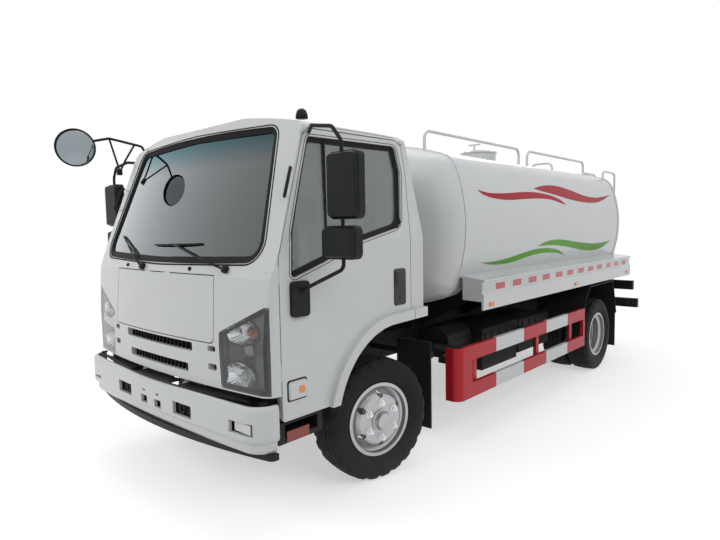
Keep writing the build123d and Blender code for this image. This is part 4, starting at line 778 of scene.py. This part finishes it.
def round_tank(along, lift):
    """Places round the tank's section, counted along the truck from the front axle."""
    centre = at(0, along, 1.61)
    outward = ring(Vector(), Vector((1, 0, 0)), Vector((0, 0, 1)), 1.0, seam_steps)
    return [tank_side.ray_cast(centre + out * 3, -out)[0] + out * lift for out in outward]


seams = Heap()
for along in (1.000, 4.440):
    places = [spot for shift, lift in seam_rows for spot in round_tank(along + shift, lift)]
    seams.take(places, net(len(seam_rows), seam_steps))
seams.piece("tank_seams", tank_white, "chassis", smooth=True)

# Stripes of the tank. Two red and two green tapered waves of coloured film on each side.
# The film is cut to shape and stuck to the paint.
red_film = surface("red_film", (0.42, 0.006, 0.016), 0.4, grain=0.02, gloss=0.2)
green_film = surface("green_film", (0.12, 0.38, 0.02), 0.4, tone=0.3, tone_scale=1.6, grain=0.02, gloss=0.2)
stripes = (  # name, material, upper edge, lower edge, each as (along, height)
    ("red_wave_front", red_film,
     ((1.17, 1.89), (1.35, 1.872), (1.62, 1.878), (1.96, 1.9), (2.26, 1.906), (2.57, 1.885),
      (2.77, 1.85), (2.9, 1.8)),
     ((1.17, 1.89), (1.26, 1.853), (1.42, 1.83), (1.66, 1.822), (1.94, 1.836), (2.23, 1.85),
      (2.47, 1.85), (2.63, 1.838), (2.9, 1.8))),
    ("red_wave_rear", red_film,
     ((2.2, 1.94), (2.38, 1.972), (2.64, 1.99), (2.89, 1.98), (3.15, 1.95), (3.43, 1.915), (3.75, 1.9),
      (3.99, 1.915), (4.33, 1.95)),
     ((2.2, 1.94), (2.42, 1.918), (2.66, 1.898), (2.91, 1.872), (3.19, 1.85), (3.54, 1.838),
      (3.9, 1.86), (4.33, 1.95))),
    ("green_wave_front", green_film,
     ((1.22, 1.32), (1.36, 1.312), (1.58, 1.32), (1.79, 1.34), (2.02, 1.368), (2.23, 1.385),
      (2.47, 1.383), (2.7, 1.36), (2.86, 1.32), (2.94, 1.29)),
     ((1.22, 1.32), (1.38, 1.292), (1.6, 1.282), (1.82, 1.292), (2.04, 1.318), (2.26, 1.338),
      (2.5, 1.338), (2.72, 1.325), (2.94, 1.29))),
    ("green_wave_rear", green_film,
     ((2.24, 1.41), (2.37, 1.44), (2.57, 1.46), (2.83, 1.452), (3.13, 1.425), (3.45, 1.4),
      (3.78, 1.385), (4.26, 1.4)),
     ((2.24, 1.41), (2.55, 1.408), (2.82, 1.39), (3.11, 1.358), (3.44, 1.322), (3.78, 1.31),
      (4.0, 1.33), (4.26, 1.4))),
)
wave_steps = 90
wave_rows = 6


def through(knots, along):
    """Height of a smooth curve through the knots at a place along the tank."""
    i = next((i for i in range(len(knots) - 1) if along <= knots[i + 1][0]), len(knots) - 2)
    p0, p1, p2, p3 = [knots[min(max(i + k, 0), len(knots) - 1)] for k in (-1, 0, 1, 2)]
    t = (along - p1[0]) / (p2[0] - p1[0])
    m1 = (p2[1] - p0[1]) / (p2[0] - p0[0]) * (p2[0] - p1[0])
    m2 = (p3[1] - p1[1]) / (p3[0] - p1[0]) * (p2[0] - p1[0])
    return (
        (2 * t ** 3 - 3 * t ** 2 + 1) * p1[1] + (t ** 3 - 2 * t ** 2 + t) * m1
        + (3 * t ** 2 - 2 * t ** 3) * p2[1] + (t ** 3 - t ** 2) * m2
    )


for name, film, upper, lower in stripes:
    for side, word in sides:
        points = []
        for k in range(wave_steps + 1):
            along = upper[0][0] + (upper[-1][0] - upper[0][0]) * k / wave_steps
            high = through(upper, along)
            low = min(through(lower, along), high)
            points += [on_side(tank_side, side, along, high + (low - high) * r / wave_rows, 0.0012)
                       for r in range(wave_rows + 1)]
        faces = net(wave_steps + 1, wave_rows + 1, closed=False)
        wave = bare_mesh(f"{name}_{word}", points, faces, film, "chassis", smooth=True)

# Manhole. A steel lid on the tank's neck, sprayed with the tank, with eight hex bolts round it.
# The bolts are zinc plated.
rim_silver = surface("rim_silver", (0.50, 0.51, 0.52), 0.34, metallic=0.8, tone=0.12, grain=0.06,
    grain_scale=250, dust=0.25, dust_top=0.8)
lid_bolts = Heap()
for i in range(8):
    a = 2 * pi * i / 8 + pi / 8
    spot = at(0.178 * cos(a), 2.811 + 0.178 * sin(a), 2.4065)
    lid_bolts.lathe(((0, 0.01296), (0.002, 0.01296)), spot, (0, 0, 1), 16)
    lid_bolts.lathe(((0.002, 0.010386), (0.0102, 0.010386), (0.012, 0.00864)), spot, (0, 0, 1), 6)
lid_bolts.piece("manhole_bolts", rim_silver, "manhole_lid")

# Skirts. Folded steel shelves beside the tank, sprayed white, with a marking tape along them.
# The tape is silver-white with red lengths, and amber marker lamps are screwed on below it.
tape_silver = surface("tape_silver", (0.60, 0.60, 0.60), 0.3, coat=0.4, grain=0.4, grain_scale=300)
tape_red = surface("tape_red", (0.50, 0.02, 0.025), 0.3, coat=0.4, grain=0.4, grain_scale=300)
skirt_tree = tree_of("skirts")
red_lengths = (1.220, 1.503, 1.790, 2.066, 2.353, 2.616, 2.892, 3.161, 3.423, 3.713, 3.972, 4.240)
for side, word in sides:
    silver = Heap()
    red = Heap()
    strips = [(silver, 0.960, 4.440, 1.122, 1.172, 0.0008)]
    strips += [(red, along - 0.075, along + 0.075, 1.1225, 1.1715, 0.0014) for along in red_lengths]
    for heap, start, end, low, high, lift in strips:
        count = max(2, int((end - start) / 0.1))
        points = [on_side(skirt_tree, side, start + (end - start) * k / count, z, lift)
                  for k in range(count + 1) for z in (low, high)]
        heap.take(points, net(count + 1, 2, closed=False))
    silver.piece(f"tape_silver_{word}", tape_silver, "chassis")
    red.piece(f"tape_red_{word}", tape_red, "chassis")
    markers = Heap()
    for along, z in ((1.063, 1.020), (2.740, 1.024), (4.335, 1.030)):
        hit = on_side(skirt_tree, side, along, z)
        markers.box(hit - Vector((side * 0.002, 0.034, 0.016)), hit + Vector((side * 0.010, 0.034, 0.016)))
    markers.piece(f"marker_lamps_{word}", amber_plastic, "chassis")

# Side guards. Welded steel channel, painted in red and white lengths; the arms that carry the
# guards from the frame are black. The front end of each guard turns in towards the frame.
bend_paint, guard_paint = [
    surface(name, (0.50, 0.008, 0.018), 0.38, coat=0.1, grain=0.03, dust=0.08, gloss=0.25)
    for name in ("bend_paint", "guard_paint")
]
guard_tree = guard_paint.node_tree
spot = guard_tree.nodes.new("ShaderNodeNewGeometry")
split = new_node(guard_tree, "ShaderNodeSeparateXYZ", {0: spot.outputs["Position"]})
masks = []
for start, end in ((1.177, 1.654), (2.107, 2.592)):
    after = math_node(guard_tree, "GREATER_THAN", split.outputs["Y"], start + axle_y)
    before = math_node(guard_tree, "LESS_THAN", split.outputs["Y"], end + axle_y)
    masks.append(math_node(guard_tree, "MULTIPLY", after, before))
white_mask = math_node(guard_tree, "ADD", masks[0], masks[1])
guard_color = guard_tree.nodes["Principled BSDF"].inputs["Base Color"]
lengths = mix_color(guard_tree, white_mask, guard_color.links[0].from_socket, (0.70, 0.71, 0.71, 1))
side_of = math_node(guard_tree, "ABSOLUTE", split.outputs["X"])
arms = math_node(guard_tree, "LESS_THAN", side_of, 1.05)
guard_tree.links.new(mix_color(guard_tree, arms, lengths, (0.013, 0.014, 0.016, 1)), guard_color)
dress(guard_paint, "side_guards")


def bend_line(radius):
    """The plan of the guard's bend, at a distance from the centre of its curve."""
    curve = [radians(degrees) for degrees in range(0, 91, 10)]
    return (
        [(1.036 + radius, 0.800), (1.036 + radius, 0.735)]
        + [(1.036 + radius * cos(a), 0.705 - radius * sin(a)) for a in curve]
        + [(0.985, 0.705 - radius)]
    )


for side, word in sides:
    bend = Heap()
    outline = bend_line(0.065) + bend_line(0.060)[::-1]
    count = len(outline)
    bend.take([at(side * x, y, z) for z in (0.357, 0.742) for x, y in outline], net(2, count))
    for first in (0, count):
        for i in range(count // 2 - 1):
            bend.faces.append((first + i, first + i + 1, first + count - 2 - i, first + count - 1 - i))
    bend.piece(f"guard_bend_{word}", bend_paint, "chassis")

# Frame, axles and springs. Riveted steel channels, forged beams and spring leaves, all black.
# Road dust lies on them.
frame_black = surface("frame_black", (0.010, 0.011, 0.012), 0.45, tone=0.3, grain=0.15, grain_scale=220,
    dust=0.14, dust_top=1.0, gloss=0.14)
dress(frame_black, "frame_rails", "crossmembers", "front_axle", "rear_axle", "leaf_springs",
      "fuel_tank", "side_boxes", "tank_subframe", "rear_guard")
rivets = Heap()
for side in (1, -1):
    for k in range(22):
        for z in (0.630, 0.740):
            rivets.lathe(((-0.001, 0.011), (0.005, 0.009), (0.008, 0.004)),
                         at(side * 0.425, -0.85 + 0.24 * k, z), (side, 0, 0), 10)
rivets.piece("frame_rivets", frame_black, "chassis", smooth=True)

# Engine and knuckles. Rough cast iron and aluminium, unpainted and dusty.
# Each knuckle turns on its kingpin and carries a wheel's hub.
cast_metal = surface("cast_metal", (0.10, 0.10, 0.105), 0.6, metallic=0.4, tone=0.3, grain=0.4,
    grain_scale=200, dust=0.4)
dress(cast_metal, "engine_block", "knuckle_left", "knuckle_right")

# Boxes under the tank's side. Pressed black boxes with ribs on their covers.
# The ribs stiffen the covers, and a deep floor closes each box from below.
box_ribs = Heap()
box_tree = tree_of("side_boxes", "fuel_tank")
for side in (1, -1):
    for along in (1.38, 1.50, 1.632, 1.76, 1.90, 2.10, 2.24, 2.38):
        line = []
        for z in (0.54, 0.60, 0.66, 0.72):
            hit = box_tree.ray_cast(at(side * 1.05, along, z), Vector((-side, 0, 0)))[0]
            if hit:
                line.append(hit)
        if len(line) > 1:
            box_ribs.rod(line, 0.009, 8)
box_floors = Heap()
for side in (1, -1):
    for start, end, reach_x, low_z, high_z in ((1.335, 1.955, 0.885, 0.412, 0.505),
                                               (2.025, 2.475, 0.865, 0.432, 0.525),
                                               (2.480, 2.690, 0.865, 0.432, 0.735)):
        box_floors.box(at(side * 0.45, start, low_z), at(side * reach_x, end, high_z))
box_floors.piece("box_floors", frame_black, "chassis")
box_ribs.piece("box_ribs", frame_black, "chassis", smooth=True)

# Mudguards and flaps. Moulded black rubber and plastic over the rear wheels, and a flat rubber
# flap behind each wheel.
dress(black_rubber, "mudguards")

# Tail lamps. Three chambers side by side under one moulded lens: red, amber and clear.
# Each lamp is screwed to the frame's rear end.
tail_red = surface("tail_red", (0.45, 0.01, 0.01), 0.2, coat=0.8, grain=0.5, grain_scale=150)
dress(tail_red, "tail_lamps")
lamp_points = [v.co.copy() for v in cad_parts["tail_lamps"].data.vertices]
for side, word in sides:
    own = [p for p in lamp_points if p.x * side > 0]
    low, high = [Vector([end(p[i] for p in own) for i in range(3)]) for end in (min, max)]
    third = (high.x - low.x) / 3
    for i, (name, material) in enumerate((("tail_signal", amber_plastic), ("reverse_lamp", lens_white))):
        cell = Heap()
        x = low.x + third * (i if side < 0 else 2 - i)
        cell.box((x + 0.006, high.y - 0.006, low.z + 0.008), (x + third - 0.006, high.y, high.z - 0.008))
        cell.piece(f"{name}_{word}", material, "chassis")

# Wheels. Pressed steel discs welded into rolled rims, sprayed silver, with a forged hub.
# Six plated nuts hold each wheel on its studs.
dress(rim_silver, "front_rim_left", "front_rim_right", "rear_rims_left", "rear_rims_right")
hub_z = 0.391
front_hub_x = 0.78
rear_hub_x = 0.825
rear_along = 3.55
up = Vector((0, 0, 1))
steer = radians(-12)
wheel_out = Vector((cos(steer), sin(steer), 0))
for side, word in sides:
    out = wheel_out * side
    studs = (
        (f"nuts_front_{word}", at(side * front_hub_x, 0, hub_z) + out * 0.168, out, f"front_wheel_{word}"),
        (f"nuts_rear_{word}", at(side * (rear_hub_x + 0.010), rear_along, hub_z), Vector((side, 0, 0)),
         f"rear_wheels_{word}"),
    )
    for name, centre, axis, body in studs:
        nuts = Heap()
        ahead = axis.cross(up)
        for i in range(6):
            a = pi / 6 + i * pi / 3
            spot = centre + (ahead * cos(a) + up * sin(a)) * 0.111
            nuts.lathe(((0, 0.021), (0.003, 0.021)), spot, axis, 16)
            nuts.lathe(((0.003, 0.0175), (0.022, 0.0175), (0.024, 0.015)), spot, axis, 6)
            nuts.lathe(((0.02, 0.0095), (0.034, 0.0095), (0.035, 0.008)), spot, axis, 12)
        nuts.piece(name, bright_metal, body)

# Tyres. Radial truck tyres with four zigzag grooves, cut shoulders and ribbed walls.
# The rubber is vulcanised over steel cord, and its bead closes over the rim's flange.
tyre_rubber = surface("tyre_rubber", (0.017, 0.017, 0.018), 0.7, tone=0.15, grain=0.25, grain_scale=350,
    dust=0.2, dust_top=0.4, gloss=0.18)
tread_profile = (  # along, radius, shoulder cut, zigzag
    (-0.086, 0.2225, 0, 0), (-0.0865, 0.239, 0, 0), (-0.097, 0.250, 0, 0), (-0.104, 0.262, 0, 0),
    (-0.104, 0.266, 0, 0), (-0.1135, 0.285, 0, 0), (-0.1155, 0.300, 0, 0), (-0.1150, 0.318, 0, 0),
    (-0.1125, 0.336, 0, 0), (-0.1125, 0.340, 0, 0), (-0.1095, 0.356, 0, 0), (-0.106, 0.364, 1, 0),
    (-0.098, 0.380, 1, 0), (-0.089, 0.386, 1, 0), (-0.064, 0.3885, 0, 1), (-0.062, 0.377, 0, 1),
    (-0.053, 0.377, 0, 1), (-0.051, 0.389, 0, 1), (-0.024, 0.3905, 0, -1), (-0.022, 0.378, 0, -1),
    (-0.013, 0.378, 0, -1), (-0.011, 0.391, 0, -1),
)
tread_profile += tuple((-along, radius, cut, -zigzag) for along, radius, cut, zigzag in tread_profile[::-1])
tread_steps = 144
tyre_table = []  # name, centre, outward axis, body, replaced node
for side, word in sides:
    out = wheel_out * side
    tyre_table.append((f"tread_front_{word}", at(side * front_hub_x, 0, hub_z) + out * 0.06, out,
                       f"front_wheel_{word}", f"front_tyre_{word}"))
    for way, role in ((1, "outer"), (-1, "inner")):
        centre = at(side * (rear_hub_x + way * 0.133), rear_along, hub_z)
        tyre_table.append((f"tread_rear_{role}_{word}", centre, Vector((side, 0, 0)),
                           f"rear_wheels_{word}", f"rear_tyres_{word}"))
for name, centre, out, body, node in tyre_table:
    ahead = out.cross(up)
    points = []
    for along, radius, cut, zigzag in tread_profile:
        for i in range(tread_steps):
            a = 2 * pi * i / tread_steps
            phase = i % 6
            rim = radius - (0.010 if cut and phase in (0, 1) else 0.0)
            shift = 0.0035 * zigzag * (1 if phase < 3 else -1)
            points.append(centre + out * (along + shift) + (ahead * cos(a) + up * sin(a)) * rim)
    faces = net(len(tread_profile), tread_steps)
    tyre = bare_mesh(name, points, faces, tyre_rubber, body, smooth=True)
    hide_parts(node)
